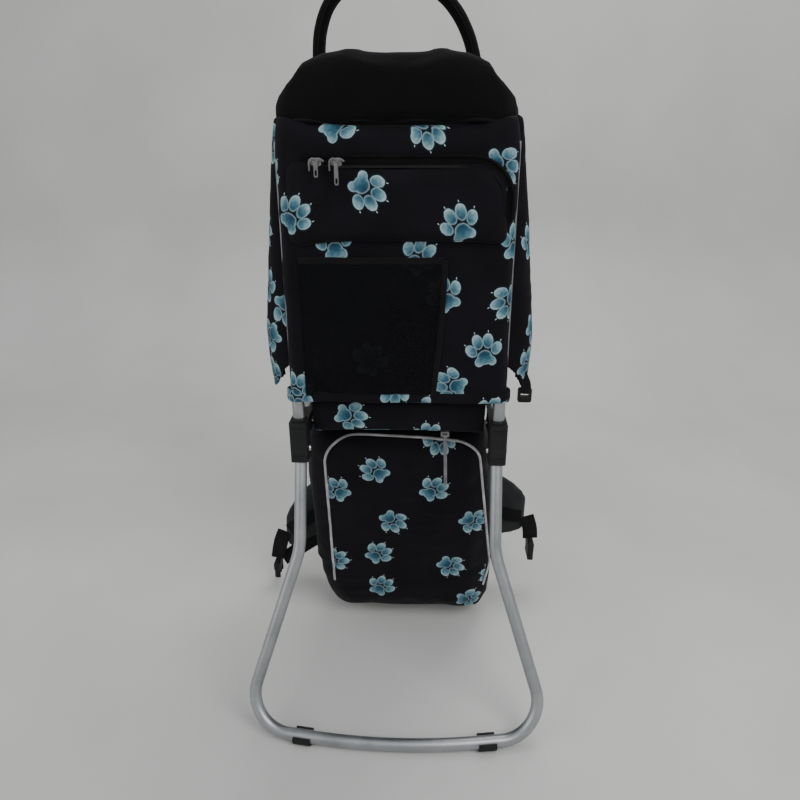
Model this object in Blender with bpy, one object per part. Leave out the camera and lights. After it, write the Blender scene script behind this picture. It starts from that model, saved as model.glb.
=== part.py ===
"""Framed child carrier backpack: tube frame, folding kickstand, seat, bags, belt and straps.

Units are metres. +X is the wearer's right, +Y the way the wearer faces and +Z up. The origin is
on the floor under the middle of the pack. Run with: blender --background --python part.py
"""
import bpy
import bmesh
from math import cos, pi, radians, sin, tan
from mathutils import Vector

# ---------------------------------------------------------------- driving dimensions
GAP = 0.0003                # clearance between pieces that touch
TUBE_R = 0.008              # kickstand, rails and rear uprights: 16 mm tube
FRAME_R = 0.009             # main frame: 18 mm tube
TUBE_WALL = 0.0014
TUBE_SIDES = 12

LEG_X = 0.1285              # kickstand legs, rails and uprights, from the middle
HINGE_Y = -0.070            # rear uprights and the kickstand's pivots
PACK_DEPTH = 0.185          # rear uprights to main frame
PIVOT_Z = 0.360             # height of the kickstand's pivots
FRAME_TOP = 0.820           # top tube of the main frame
FRAME_BEND = 0.075
FRAME_LEG_GAP = 0.0035      # between a frame leg and the rail beside it
CROSSBAR_Z = 0.052          # bar that joins the frame's legs below the belt
CROSSBAR_R = 0.006

STAND_BACK = 0.135          # how far behind its pivots the kickstand's bar stands
STAND_BEND_DROP = 0.125     # pivots to the bend where the legs start to spread
STAND_HALF_WIDTH = 0.203    # corner of the kickstand, before it is rounded
STAND_BOW = 0.027           # how far the bar bows back at its middle
STAND_CORNER_R = 0.050
STAND_FOOT_X = 0.120
FOOT_WALL = 0.0032

PANEL_RISE = 0.029          # rear panel's lower edge above the hinge housings
PANEL_DROP = 0.064          # rear panel's upper edge below the frame's top
PANEL_THICK = 0.018
COLLAR_RISE = 0.009         # collar's top above the frame's top
COLLAR_THICK = 0.034
POCKET_TOP_SHARE = 0.877    # zip line of the upper pocket, as a share of the rear panel's height
POCKET_SEAM_SHARE = 0.583   # seam between the upper pocket and the mesh pocket
POCKET_THICK = 0.016
MESH_THICK = 0.010
HANDLE_INSET = 0.0225       # handle's ends in from the rails
HANDLE_RISE = 0.111         # handle's top above the frame's top
HANDLE_R = 0.0085

BAG_BOTTOM = 0.030
BAG_HALF_WIDTH = 0.138
BAG_LEAN = 0.050            # the bag's front leans back this much, bottom to top
BACK_THICK = 0.0235
LUMBAR_THICK = 0.047
BELT_BOTTOM = 0.070
BELT_TOP = 0.208
WEBBING = 0.0016
PULL_THICK = 0.0016
SHOULDER_THICK = 0.012
SHOULDER_WIDTH = 0.052
SHOULDER_REACH = 0.062      # how far the shoulder straps stand out from the back panel
STERNUM_SHARE = 0.624       # sternum strap's height between the belt's top and the frame's top

# ---------------------------------------------------------------- places worked out from them
FRAME_Y = HINGE_Y + PACK_DEPTH
FRAME_X = LEG_X - TUBE_R - FRAME_R - FRAME_LEG_GAP
SLEEVE_R = TUBE_R + GAP + 0.003
HANDLE_TOP = FRAME_TOP + HANDLE_RISE
HANDLE_HALF_WIDTH = LEG_X - HANDLE_INSET
COLLAR_TOP = FRAME_TOP + COLLAR_RISE
PANEL_TOP = FRAME_TOP - PANEL_DROP
PANEL_HALF = LEG_X - SLEEVE_R - GAP
PANEL_BACK = HINGE_Y - 0.010
PANEL_FRONT = PANEL_BACK + PANEL_THICK
BAR_Z = TUBE_R + FOOT_WALL
HOUSING_BOTTOM = PIVOT_Z - 0.014
HOUSING_TOP = PIVOT_Z + 0.041
RAIL_Z = PIVOT_Z + 0.029
PANEL_BOTTOM = HOUSING_TOP + PANEL_RISE
POCKET_TOP = PANEL_BOTTOM + POCKET_TOP_SHARE * (PANEL_TOP - PANEL_BOTTOM)
POCKET_SEAM = PANEL_BOTTOM + POCKET_SEAM_SHARE * (PANEL_TOP - PANEL_BOTTOM)
BAG_TOP = RAIL_Z - TUBE_R - 0.0025
RAIL_START = HINGE_Y + TUBE_R + 0.0065
UPRIGHT_BOTTOM = PIVOT_Z + 0.0185
LEG_LEAN = STAND_BACK / (PIVOT_Z - BAR_Z)
LEG_HALF_DEPTH = TUBE_R * (1 + LEG_LEAN ** 2) ** 0.5
SLOT_BACK = LEG_HALF_DEPTH + LEG_LEAN * (PIVOT_Z - HOUSING_BOTTOM) + 0.0002
SLOT_FRONT = LEG_HALF_DEPTH + LEG_LEAN * 0.009 + 0.0004
SLOT_TOP = PIVOT_Z + 0.0106 + TUBE_R * TUBE_R / LEG_HALF_DEPTH * LEG_LEAN
BACK_Y = FRAME_Y + FRAME_R + 0.0005
BACK_FACE = BACK_Y + BACK_THICK
BELT_FACE = BACK_Y + LUMBAR_THICK
SEAT_Z = BAG_TOP + 0.0015
SEAT_THICK = 0.011
BAG_BACK = FRAME_Y - FRAME_R - 0.006
BAG_FRONT_TOP = HINGE_Y + 0.038


# ---------------------------------------------------------------- materials
def make_material(name, color, roughness, metallic=0.0):
    material = bpy.data.materials.new(name)
    material.use_nodes = True
    shader = material.node_tree.nodes["Principled BSDF"]
    shader.inputs["Base Color"].default_value = (*color, 1.0)
    shader.inputs["Roughness"].default_value = roughness
    shader.inputs["Metallic"].default_value = metallic
    return material


def make_materials():
    return {
        "aluminium": make_material("aluminium", (0.62, 0.64, 0.66), 0.38, 1.0),
        "steel": make_material("steel", (0.55, 0.55, 0.56), 0.3, 1.0),
        "black_plastic": make_material("black_plastic", (0.02, 0.02, 0.022), 0.45),
        "rubber": make_material("rubber", (0.015, 0.015, 0.015), 0.8),
        "printed_fabric": make_material("printed_fabric", (0.035, 0.045, 0.07), 0.85),
        "black_fabric": make_material("black_fabric", (0.012, 0.012, 0.014), 0.92),
        "mesh_fabric": make_material("mesh_fabric", (0.02, 0.02, 0.024), 0.9),
        "webbing": make_material("webbing", (0.018, 0.018, 0.02), 0.8),
        "zip_metal": make_material("zip_metal", (0.5, 0.5, 0.5), 0.35, 1.0),
        "zip_tape": make_material("zip_tape", (0.03, 0.03, 0.035), 0.8),
    }


# ---------------------------------------------------------------- shapes
def clear_scene():
    for item in list(bpy.data.objects):
        bpy.data.objects.remove(item, do_unlink=True)


def add_mesh(name, points, faces, material, pivot=(0.0, 0.0, 0.0), smooth=True):
    """One object whose origin is the pivot; the points are in world metres."""
    origin = Vector(pivot)
    mesh = bpy.data.meshes.new(name)
    mesh.from_pydata([Vector(p) - origin for p in points], [], faces)
    bm = bmesh.new()
    bm.from_mesh(mesh)
    bmesh.ops.recalc_face_normals(bm, faces=bm.faces)
    bm.to_mesh(mesh)
    bm.free()
    if smooth:
        mesh.shade_smooth()
        mesh.set_sharp_from_angle(angle=radians(35))
    mesh.materials.append(material)
    thing = bpy.data.objects.new(name, mesh)
    thing.location = origin
    bpy.context.scene.collection.objects.link(thing)
    return thing


def ring_faces(rings, count, closed=False):
    """Quads between rings of equal size, with a cap at each end unless the rings close up."""
    faces = []
    total = rings if closed else rings - 1
    for row in range(total):
        low = row * count
        high = ((row + 1) % rings) * count
        for i in range(count):
            j = (i + 1) % count
            faces.append((low + i, low + j, high + j, high + i))
    if not closed:
        faces.append(tuple(range(count)))
        faces.append(tuple((rings - 1) * count + i for i in range(count)))
    return faces


def loft(name, rings, material, pivot=(0.0, 0.0, 0.0)):
    points = [p for ring in rings for p in ring]
    return add_mesh(name, points, ring_faces(len(rings), len(rings[0])), material, pivot)


def arc(centre, radius, start, end, steps):
    """Points of a plane arc, angles in degrees."""
    angles = [radians(start + (end - start) * i / steps) for i in range(steps + 1)]
    return [(centre[0] + radius * cos(a), centre[1] + radius * sin(a)) for a in angles]


def rounded_rect(u0, u1, v0, v1, radius, steps=4):
    """Outline of a rectangle with round corners, anticlockwise."""
    return (arc((u1 - radius, v1 - radius), radius, 0, 90, steps)
            + arc((u0 + radius, v1 - radius), radius, 90, 180, steps)
            + arc((u0 + radius, v0 + radius), radius, 180, 270, steps)
            + arc((u1 - radius, v0 + radius), radius, 270, 360, steps))


def place(axis, depth, u, v):
    """A point whose coordinate along the axis is depth; u and v are the other two in order."""
    if axis == "X":
        return (depth, u, v)
    if axis == "Y":
        return (u, depth, v)
    return (u, v, depth)


def shrink(outline, inset):
    """The outline drawn in towards its own middle by roughly the inset."""
    us = [p[0] for p in outline]
    vs = [p[1] for p in outline]
    mid_u = (min(us) + max(us)) / 2
    mid_v = (min(vs) + max(vs)) / 2
    scale_u = 1 - 2 * inset / (max(us) - min(us))
    scale_v = 1 - 2 * inset / (max(vs) - min(vs))
    return [(mid_u + (u - mid_u) * scale_u, mid_v + (v - mid_v) * scale_v) for u, v in outline]


def slab(name, outline, axis, low, high, material, edge=0.0, pivot=(0.0, 0.0, 0.0)):
    """An outline extruded along an axis, its rims drawn in by edge for a pillow-like side."""
    if edge <= 0:
        rings = [[place(axis, d, u, v) for u, v in outline] for d in (low, high)]
        return loft(name, rings, material, pivot)
    tight = shrink(outline, edge)
    soft = min(edge, (high - low) * 0.4)
    steps = ((low, tight), (low + soft, outline), (high - soft, outline), (high, tight))
    rings = [[place(axis, d, u, v) for u, v in shape] for d, shape in steps]
    return loft(name, rings, material, pivot)


def block(name, low, high, material, radius=0.002, pivot=(0.0, 0.0, 0.0)):
    outline = rounded_rect(low[0], high[0], low[1], high[1], radius, 2)
    return slab(name, outline, "Z", low[2], high[2], material, 0.0, pivot)


def cylinder(name, centre, axis, radius, low, high, material, sides=16, pivot=(0.0, 0.0, 0.0)):
    outline = [(centre[0] + radius * cos(2 * pi * i / sides), centre[1] + radius * sin(2 * pi * i / sides))
               for i in range(sides)]
    return slab(name, outline, axis, low, high, material, 0.0, pivot)


def turned(name, profile, centre, axis, material, sides=20, pivot=(0.0, 0.0, 0.0)):
    """A profile of (radius, distance) turned round an axis; it starts and ends on the axis."""
    points = []
    rows = []
    for radius, along in profile:
        if radius == 0:
            points.append(place(axis, along, *centre))
            rows.append([len(points) - 1])
            continue
        row = []
        for i in range(sides):
            turn = 2 * pi * i / sides
            points.append(place(axis, along, centre[0] + radius * cos(turn), centre[1] + radius * sin(turn)))
            row.append(len(points) - 1)
        rows.append(row)
    faces = []
    for first, second in zip(rows, rows[1:]):
        for i in range(sides):
            j = (i + 1) % sides
            if len(first) == 1:
                faces.append((first[0], second[i], second[j]))
            elif len(second) == 1:
                faces.append((first[i], first[j], second[0]))
            else:
                faces.append((first[i], first[j], second[j], second[i]))
    return add_mesh(name, points, faces, material, pivot)


def rounded_path(corners, radii, steps=6):
    """Straight runs joined by true arcs of the given radius at each inner corner."""
    corners = [Vector(c) for c in corners]
    path = [corners[0]]
    for before, corner, after, radius in zip(corners, corners[1:], corners[2:], radii):
        back = (before - corner).normalized()
        ahead = (after - corner).normalized()
        half = back.angle(ahead) / 2
        reach = radius / tan(half)
        centre = corner + (back + ahead).normalized() * (radius / sin(half))
        start = corner + back * reach - centre
        end = corner + ahead * reach - centre
        sweep = start.angle(end)
        for i in range(steps + 1):
            t = i / steps
            blend = start * sin((1 - t) * sweep) / sin(sweep) + end * sin(t * sweep) / sin(sweep)
            path.append(centre + blend)
    path.append(corners[-1])
    return path


def smooth_path(points, per_span=4):
    """A Catmull-Rom curve through the points."""
    pts = [Vector(p) for p in points]
    pts = [pts[0] * 2 - pts[1]] + pts + [pts[-1] * 2 - pts[-2]]
    path = []
    for a, b, c, d in zip(pts, pts[1:], pts[2:], pts[3:]):
        for i in range(per_span):
            t = i / per_span
            path.append(0.5 * (2 * b + (c - a) * t + (2 * a - 5 * b + 4 * c - d) * t ** 2
                               + (3 * b - a - 3 * c + d) * t ** 3))
    path.append(pts[-2])
    return path


def path_frames(path, side=None, closed=False):
    """Tangent-aligned frames; with a side vector the first direction keeps to that side."""
    frames = []
    last = None
    for i, point in enumerate(path):
        if closed:
            tangent = (path[(i + 1) % len(path)] - path[i - 1]).normalized()
        else:
            tangent = (path[min(i + 1, len(path) - 1)] - path[max(i - 1, 0)]).normalized()
        if side is not None:
            guide = Vector(side)
        elif last is None:
            guide = Vector((0.0, 1.0, 0.0)) if abs(tangent.y) < 0.8 else Vector((0.0, 0.0, 1.0))
        else:
            guide = last
        first = (guide - tangent * guide.dot(tangent)).normalized()
        last = first
        frames.append((point, first, tangent.cross(first)))
    return frames


def circle_profile(radius, sides=TUBE_SIDES):
    return [(radius * cos(2 * pi * i / sides), radius * sin(2 * pi * i / sides)) for i in range(sides)]


def sweep(name, path, profile, material, side=None, closed=False, pivot=(0.0, 0.0, 0.0)):
    rings = [[point + first * u + second * v for u, v in profile]
             for point, first, second in path_frames(path, side, closed)]
    points = [p for ring in rings for p in ring]
    return add_mesh(name, points, ring_faces(len(rings), len(profile), closed), material, pivot)


def strap(name, path, width, thick, material, side=(1, 0, 0), pivot=(0.0, 0.0, 0.0)):
    w, t = width / 2, thick / 2
    return sweep(name, path, [(-w, -t), (w, -t), (w, t), (-w, t)], material, side, False, pivot)


def pad_strap(name, path, width, thick, material, side=(1, 0, 0), pivot=(0.0, 0.0, 0.0)):
    w, t = width / 2, thick / 2
    c = t * 0.7
    profile = [(-w, -t + c), (-w + c, -t), (w - c, -t), (w, -t + c),
               (w, t - c), (w - c, t), (-w + c, t), (-w, t - c)]
    return sweep(name, path, profile, material, side, False, pivot)


def hollow_tube(name, path, radius, wall, material, pivot=(0.0, 0.0, 0.0)):
    """An open-ended tube with a real wall."""
    frames = path_frames([Vector(p) for p in path])
    count = TUBE_SIDES
    points = []
    for size in (radius, radius - wall):
        for point, first, second in frames:
            points += [point + first * u + second * v for u, v in circle_profile(size)]
    rows = len(frames)
    faces = []
    for shell in (0, 1):
        base = shell * rows * count
        for row in range(rows - 1):
            for i in range(count):
                j = (i + 1) % count
                a, b = base + row * count + i, base + row * count + j
                faces.append((a, b, b + count, a + count))
    for row in (0, rows - 1):
        for i in range(count):
            j = (i + 1) % count
            outer = row * count
            inner = (rows + row) * count
            faces.append((outer + i, outer + j, inner + j, inner + i))
    return add_mesh(name, points, faces, material, pivot)


def combine(target, tool, operation):
    """Boolean modifier with a hidden tool object."""
    tool.hide_render = True
    tool.display_type = "WIRE"
    modifier = target.modifiers.new(tool.name, "BOOLEAN")
    modifier.operation = operation
    modifier.solver = "EXACT"
    modifier.object = tool


# ---------------------------------------------------------------- frame
def build_main_frame(mats):
    legs = [(-FRAME_X, FRAME_Y, 0.012), (-FRAME_X, FRAME_Y, FRAME_TOP),
            (FRAME_X, FRAME_Y, FRAME_TOP), (FRAME_X, FRAME_Y, 0.012)]
    path = rounded_path(legs, (FRAME_BEND, FRAME_BEND), 8)
    hollow_tube("main_frame", path, FRAME_R, TUBE_WALL, mats["aluminium"])
    bore = FRAME_R + GAP
    outer = bore + 0.003
    for side, name in ((-1, "left"), (1, "right")):
        profile = [(0, 0.0), (outer - 0.002, 0.0), (outer, 0.002), (outer, 0.034), (bore, 0.034),
                   (bore, 0.0115), (0, 0.0115)]
        turned("frame_foot_" + name, profile, (side * FRAME_X, FRAME_Y), "Z", mats["rubber"])
    height = CROSSBAR_Z
    bar = cylinder("lower_crossbar", (FRAME_Y, height), "X", CROSSBAR_R, -FRAME_X, FRAME_X,
                   mats["aluminium"], 12)
    for side in (-1, 1):
        cope = cylinder("crossbar_cope_%d" % side, (side * FRAME_X, FRAME_Y), "Z", FRAME_R + GAP,
                        height - 0.02, height + 0.02, mats["aluminium"], 24)
        combine(bar, cope, "DIFFERENCE")


def build_rails(mats):
    end = FRAME_Y + FRAME_R + 0.004
    for side, name in ((-1, "left"), (1, "right")):
        x = side * LEG_X
        hollow_tube("seat_rail_" + name, [(x, RAIL_START, RAIL_Z), (x, end - 0.006, RAIL_Z)],
                    TUBE_R, TUBE_WALL, mats["aluminium"])
        inner = FRAME_X - FRAME_R - 0.003
        outer = LEG_X + TUBE_R + 0.003
        low = (min(side * inner, side * outer), FRAME_Y - FRAME_R - 0.003, RAIL_Z - TUBE_R - 0.003)
        high = (max(side * inner, side * outer), FRAME_Y + FRAME_R, RAIL_Z + TUBE_R + 0.003)
        clamp = block("rail_clamp_" + name, low, high, mats["black_plastic"], 0.003)
        leg_bore = cylinder("clamp_leg_bore_" + name, (side * FRAME_X, FRAME_Y), "Z", FRAME_R + GAP,
                            low[2] - 0.01, high[2] + 0.01, mats["steel"], 24)
        rail_bore = cylinder("clamp_rail_bore_" + name, (x, RAIL_Z), "Y", TUBE_R + GAP,
                             low[1] - 0.01, end - 0.0055, mats["steel"], 24)
        combine(clamp, leg_bore, "DIFFERENCE")
        combine(clamp, rail_bore, "DIFFERENCE")


def build_hinges(mats):
    half = TUBE_R + GAP + 0.003
    pin_r = 0.0025
    for side, name in ((-1, "left"), (1, "right")):
        x = side * LEG_X
        housing = block("hinge_housing_" + name, (x - half, HINGE_Y - SLOT_BACK - 0.0023, HOUSING_BOTTOM),
                        (x + half, HINGE_Y + SLOT_FRONT + 0.0020, HOUSING_TOP), mats["black_plastic"], 0.003)
        boss = block("rail_boss_" + name, (x - half, HINGE_Y + 0.010, RAIL_Z - TUBE_R - 0.0035),
                     (x + half, HINGE_Y + 0.044, RAIL_Z + TUBE_R + 0.0035), mats["black_plastic"])
        combine(housing, boss, "UNION")
        slot_half = TUBE_R + GAP
        slot = block("leg_slot_" + name, (x - slot_half, HINGE_Y - SLOT_BACK, HOUSING_BOTTOM - 0.01),
                     (x + slot_half, HINGE_Y + SLOT_FRONT, SLOT_TOP), mats["steel"], 0.0005)
        combine(housing, slot, "DIFFERENCE")
        upright_bore = cylinder("upright_bore_" + name, (x, HINGE_Y), "Z", TUBE_R + GAP,
                                UPRIGHT_BOTTOM - GAP, HOUSING_TOP + 0.01, mats["steel"], 24)
        combine(housing, upright_bore, "DIFFERENCE")
        rail_bore = cylinder("rail_bore_" + name, (x, RAIL_Z), "Y", TUBE_R + GAP,
                             RAIL_START - GAP, HINGE_Y + 0.06, mats["steel"], 24)
        combine(housing, rail_bore, "DIFFERENCE")
        pin_bore = cylinder("pin_bore_" + name, (HINGE_Y, PIVOT_Z), "X", pin_r + GAP,
                            x - half - 0.01, x + half + 0.01, mats["steel"], 16)
        combine(housing, pin_bore, "DIFFERENCE")
        head = half + GAP
        profile = [(0, x - head - 0.0018), (0.0036, x - head - 0.0018), (0.0046, x - head),
                   (pin_r, x - head), (pin_r, x + head), (0.0046, x + head),
                   (0.0036, x + head + 0.0018), (0, x + head + 0.0018)]
        turned("hinge_pin_" + name, profile, (HINGE_Y, PIVOT_Z), "X", mats["steel"], 14,
               (x, HINGE_Y, PIVOT_Z))
        face = x - side * (half + GAP)
        turned("rail_screw_" + name, [(0, face), (0.0042, face), (0.003, face - side * 0.0016),
               (0, face - side * 0.0016)], (HINGE_Y + 0.030, RAIL_Z), "X", mats["steel"], 12)


def build_uprights(mats):
    for side, name in ((-1, "left"), (1, "right")):
        x = side * LEG_X
        top = PANEL_TOP - 0.020
        hollow_tube("rear_upright_" + name, [(x, HINGE_Y, UPRIGHT_BOTTOM), (x, HINGE_Y, top)],
                    TUBE_R, TUBE_WALL, mats["aluminium"])
        bore = TUBE_R + GAP
        profile = [(0, top + 0.004), (0, PANEL_TOP - 0.004), (SLEEVE_R - 0.002, PANEL_TOP - 0.004),
                   (SLEEVE_R, PANEL_TOP - 0.006), (SLEEVE_R, PANEL_BOTTOM), (bore, PANEL_BOTTOM),
                   (bore, top + 0.004), (0, top + 0.004)]
        turned("pole_sleeve_" + name, profile[1:], (x, HINGE_Y), "Z", mats["printed_fabric"])


def stand_corners():
    """Corners of the kickstand's path, from the left pivot round to the right one."""
    drop = PIVOT_Z - BAR_Z
    lean = STAND_BACK / drop
    top_rise = 0.009
    corners = []
    for side in (-1, 1):
        leg = [(side * LEG_X, HINGE_Y + lean * top_rise, PIVOT_Z + top_rise),
               (side * LEG_X, HINGE_Y - lean * STAND_BEND_DROP, PIVOT_Z - STAND_BEND_DROP),
               (side * STAND_HALF_WIDTH, HINGE_Y - STAND_BACK, BAR_Z)]
        corners += leg if side < 0 else leg[::-1]
        if side < 0:
            corners.append((0.0, HINGE_Y - STAND_BACK - STAND_BOW, BAR_Z))
    return corners


def stand_path():
    return rounded_path(stand_corners(), (0.11, STAND_CORNER_R, 0.80, STAND_CORNER_R, 0.11), 8)


def build_stand(mats):
    pivot = (0.0, HINGE_Y, PIVOT_Z)
    stand = hollow_tube("kickstand", stand_path(), TUBE_R, TUBE_WALL, mats["aluminium"], pivot)
    for side, name in ((-1, "left"), (1, "right")):
        x = side * LEG_X
        hole = cylinder("stand_pin_hole_" + name, (HINGE_Y, PIVOT_Z), "X", 0.0025 + GAP,
                        x - 0.02, x + 0.02, mats["steel"], 16)
        combine(stand, hole, "DIFFERENCE")
        build_stand_foot(mats, side, name, pivot)


def bar_point(x):
    """A point of the kickstand's bar at x, and the bar's direction there."""
    path = stand_path()
    for a, b in zip(path, path[1:]):
        if a.z < BAR_Z + 0.001 and b.z < BAR_Z + 0.001 and a.x <= x <= b.x:
            return a.lerp(b, (x - a.x) / (b.x - a.x)), (b - a).normalized()
    raise ValueError("the bar does not reach x = %s" % x)


def build_stand_foot(mats, side, name, pivot):
    """A C-shaped clip snapped over the bar from below."""
    outer = TUBE_R + FOOT_WALL
    inner = TUBE_R + GAP
    profile = arc((0, 0), outer, -205, 25, 14) + arc((0, 0), inner, 25, -205, 14)
    middle, along = bar_point(side * STAND_FOOT_X)
    path = [middle - along * 0.0115, middle + along * 0.0115]
    level = Vector((-along.y, along.x, 0.0))
    up = along.cross(level)
    if up.z < 0:
        level = -level
    rings = []
    for point in path:
        rings.append([point + level * u + Vector((0, 0, 1)) * v for u, v in profile])
    loft("stand_foot_" + name, rings, mats["rubber"], pivot)


# ---------------------------------------------------------------- seat and its walls
def build_rear_panel(mats):
    outline = rounded_rect(-PANEL_HALF, PANEL_HALF, PANEL_BOTTOM, PANEL_TOP - 0.004, 0.006)
    slab("rear_panel", outline, "Y", PANEL_BACK, PANEL_FRONT, mats["printed_fabric"], 0.003)
    back = PANEL_BACK - GAP
    outline = rounded_rect(-PANEL_HALF + 0.002, PANEL_HALF - 0.002, POCKET_SEAM + 0.002,
                           POCKET_TOP + 0.012, 0.02)
    slab("upper_pocket", outline, "Y", back - POCKET_THICK, back, mats["printed_fabric"], 0.006)
    outline = rounded_rect(-PANEL_HALF + 0.002, PANEL_HALF - 0.072, PANEL_BOTTOM + 0.012,
                           POCKET_SEAM - 0.002, 0.02)
    slab("mesh_pocket", outline, "Y", back - MESH_THICK, back, mats["mesh_fabric"], 0.004)


def collar_section(x, y, low, high, half, outward):
    """A rounded section of the collar, standing across its run; outward is a unit (x, y)."""
    ring = []
    mid = (low + high) / 2
    for u, v in circle_profile(1.0, 10):
        reach = half * (abs(u) ** 0.7) * (1 if u > 0 else -1)
        ring.append((x + outward[0] * reach, y + outward[1] * reach, mid + (high - low) / 2 * v))
    return ring


def build_collar(mats):
    """Padded rim round the seat's top: high behind the child's head, lower along both sides."""
    half = COLLAR_THICK / 2
    rear_y = PANEL_BACK + half - 0.006
    low = PANEL_TOP
    side_x = LEG_X + 0.0015
    stations = []
    for x, top in ((0.0, COLLAR_TOP), (0.045, COLLAR_TOP - 0.001), (0.076, COLLAR_TOP - 0.007),
                   (0.096, COLLAR_TOP - 0.020)):
        stations.append((x, rear_y, top, half, (0.0, -1.0)))
    corner = 0.025
    for turn in (25, 55, 85):
        a = radians(turn)
        stations.append((side_x - corner + corner * sin(a), rear_y + corner - corner * cos(a),
                         COLLAR_TOP - 0.030 - 0.00024 * turn, half * (1 - 0.0052 * turn),
                         (sin(a), -cos(a))))
    end = FRAME_Y - 0.030
    for y in (rear_y + 0.055, rear_y + 0.095, end):
        stations.append((side_x, y, PANEL_TOP + 0.022, half * 0.52, (1.0, 0.0)))
    right = [collar_section(x, y, low, top, h, out) for x, y, top, h, out in stations[1:]]
    left = [collar_section(-x, y, low, top, h, (-out[0], out[1])) for x, y, top, h, out in stations[1:]]
    middle = collar_section(*stations[0][:2], low, *stations[0][2:])
    loft("headrest_collar", left[::-1] + [middle] + right, mats["black_fabric"])


def build_side_panels(mats):
    """Seat sides that flare outwards below and are cut away in front for the child's legs."""
    rear = PANEL_FRONT + 0.006
    front = FRAME_Y - FRAME_R - 0.004
    top = PANEL_TOP - 0.002
    rows = ((top, rear, front), (PANEL_BOTTOM + 0.170, rear, front), (PANEL_BOTTOM + 0.110, rear, front),
            (PANEL_BOTTOM + 0.060, rear + 0.002, rear + 0.086),
            (PANEL_BOTTOM + 0.028, rear + 0.006, rear + 0.038),
            (PANEL_BOTTOM + 0.0105, rear + 0.007, rear + 0.019))
    for side, name in ((-1, "left"), (1, "right")):
        rings = []
        for z, start, end in rows:
            flare = 0.024 * min(1.0, (top - z) / (top - PANEL_BOTTOM - 0.060))
            x = LEG_X + 0.0115 + flare
            outline = rounded_rect(x - 0.0035, x + 0.0035, start, end, 0.003, 2)
            rings.append([(side * u, v, z) for u, v in outline])
        loft("side_panel_" + name, rings, mats["printed_fabric"])
    x = LEG_X + 0.0355
    block("side_buckle", (x - 0.009, rear + 0.010, PANEL_BOTTOM - 0.014),
          (x + 0.009, rear + 0.016, PANEL_BOTTOM + 0.010), mats["black_plastic"], 0.002)


def build_seat(mats):
    """Seat floor between the rails with a low wall up to the rear panel."""
    half = LEG_X - TUBE_R - GAP - 0.006
    wall_back = PANEL_FRONT - 0.004
    front = FRAME_Y - FRAME_R - 0.016
    floor_top = SEAT_Z + SEAT_THICK
    profile = [(wall_back, SEAT_Z), (front, SEAT_Z), (front, floor_top), (wall_back + 0.011, floor_top),
               (wall_back + 0.011, PANEL_BOTTOM - 0.0015), (wall_back, PANEL_BOTTOM - 0.0015)]
    slab("seat_base", profile, "X", -half, half, mats["printed_fabric"])
    pad_back = FRAME_Y - FRAME_R - 0.0145
    outline = rounded_rect(-FRAME_X + FRAME_R + 0.004, FRAME_X - FRAME_R - 0.004,
                           floor_top + 0.050, PANEL_TOP + 0.020, 0.025)
    slab("chest_pad", outline, "Y", pad_back, pad_back + 0.013, mats["black_fabric"], 0.003)


def build_harness(mats):
    """Shoulder straps for the child, meeting at a chest buckle with a strap from the seat."""
    y = PANEL_FRONT + 0.004
    buckle_z = PANEL_BOTTOM + 0.070
    top = PANEL_TOP - 0.060
    path = smooth_path([(-0.046, y, top), (-0.044, y + 0.004, top - 0.060),
                        (-0.032, y + 0.008, buckle_z + 0.075), (0.0, y + 0.010, buckle_z + 0.052),
                        (0.032, y + 0.008, buckle_z + 0.075), (0.044, y + 0.004, top - 0.060),
                        (0.046, y, top)], 4)
    strap("harness_straps", path, WEBBING, 0.020, mats["webbing"], (0, 1, 0))
    slot_y = y + 0.010
    socket_low = (-0.019, slot_y - 0.006, buckle_z - 0.022)
    socket_high = (0.019, slot_y + 0.006, buckle_z + 0.008)
    block("harness_socket", socket_low, socket_high, mats["black_plastic"], 0.003)
    plug = block("harness_plug", (-0.0185, slot_y - 0.005, buckle_z + 0.0085),
                 (0.0185, slot_y + 0.005, buckle_z + 0.026), mats["black_plastic"], 0.003)
    tongue = block("plug_tongue", (-0.007, slot_y - 0.002, buckle_z - 0.010),
                   (0.007, slot_y + 0.002, buckle_z + 0.012), mats["black_plastic"], 0.0008)
    combine(plug, tongue, "UNION")
    pocket = block("socket_pocket", (-0.0074, slot_y - 0.0024, buckle_z - 0.0104),
                   (0.0074, slot_y + 0.0024, buckle_z + 0.012), mats["black_plastic"], 0.0009)
    combine(bpy.data.objects["harness_socket"], pocket, "DIFFERENCE")
    seat_top = SEAT_Z + SEAT_THICK + 0.001
    path = smooth_path([(0, slot_y, buckle_z - 0.0225), (0, slot_y + 0.004, seat_top + 0.030),
                        (0, slot_y + 0.030, seat_top + 0.006), (0, slot_y + 0.060, seat_top)], 4)
    strap("crotch_strap", path, 0.022, WEBBING, mats["webbing"])


# ---------------------------------------------------------------- lower bag
def bag_front_y(z):
    """The bag's flat rear face, which leans back towards its top."""
    return BAG_FRONT_TOP + BAG_LEAN * (BAG_TOP - z) / (BAG_TOP - BAG_BOTTOM)


def build_lower_bag(mats):
    tall = BAG_TOP - BAG_BOTTOM
    rows = ((0.0, 0.870, 0.022), (0.025, 0.965, 0.006), (tall * 0.230, 1.0, 0.0), (tall * 0.574, 1.0, 0.0),
            (tall * 0.832, 0.950, 0.0), (tall - 0.018, 0.925, 0.0), (tall - 0.004, 0.870, 0.004))
    rings = []
    for rise, share, tuck in rows:
        z = BAG_BOTTOM + rise
        half = BAG_HALF_WIDTH * share
        outline = rounded_rect(-half, half, bag_front_y(z) + tuck, BAG_BACK - tuck, 0.024)
        rings.append([(u, v, z) for u, v in outline])
    loft("lower_bag", rings, mats["printed_fabric"])


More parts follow.
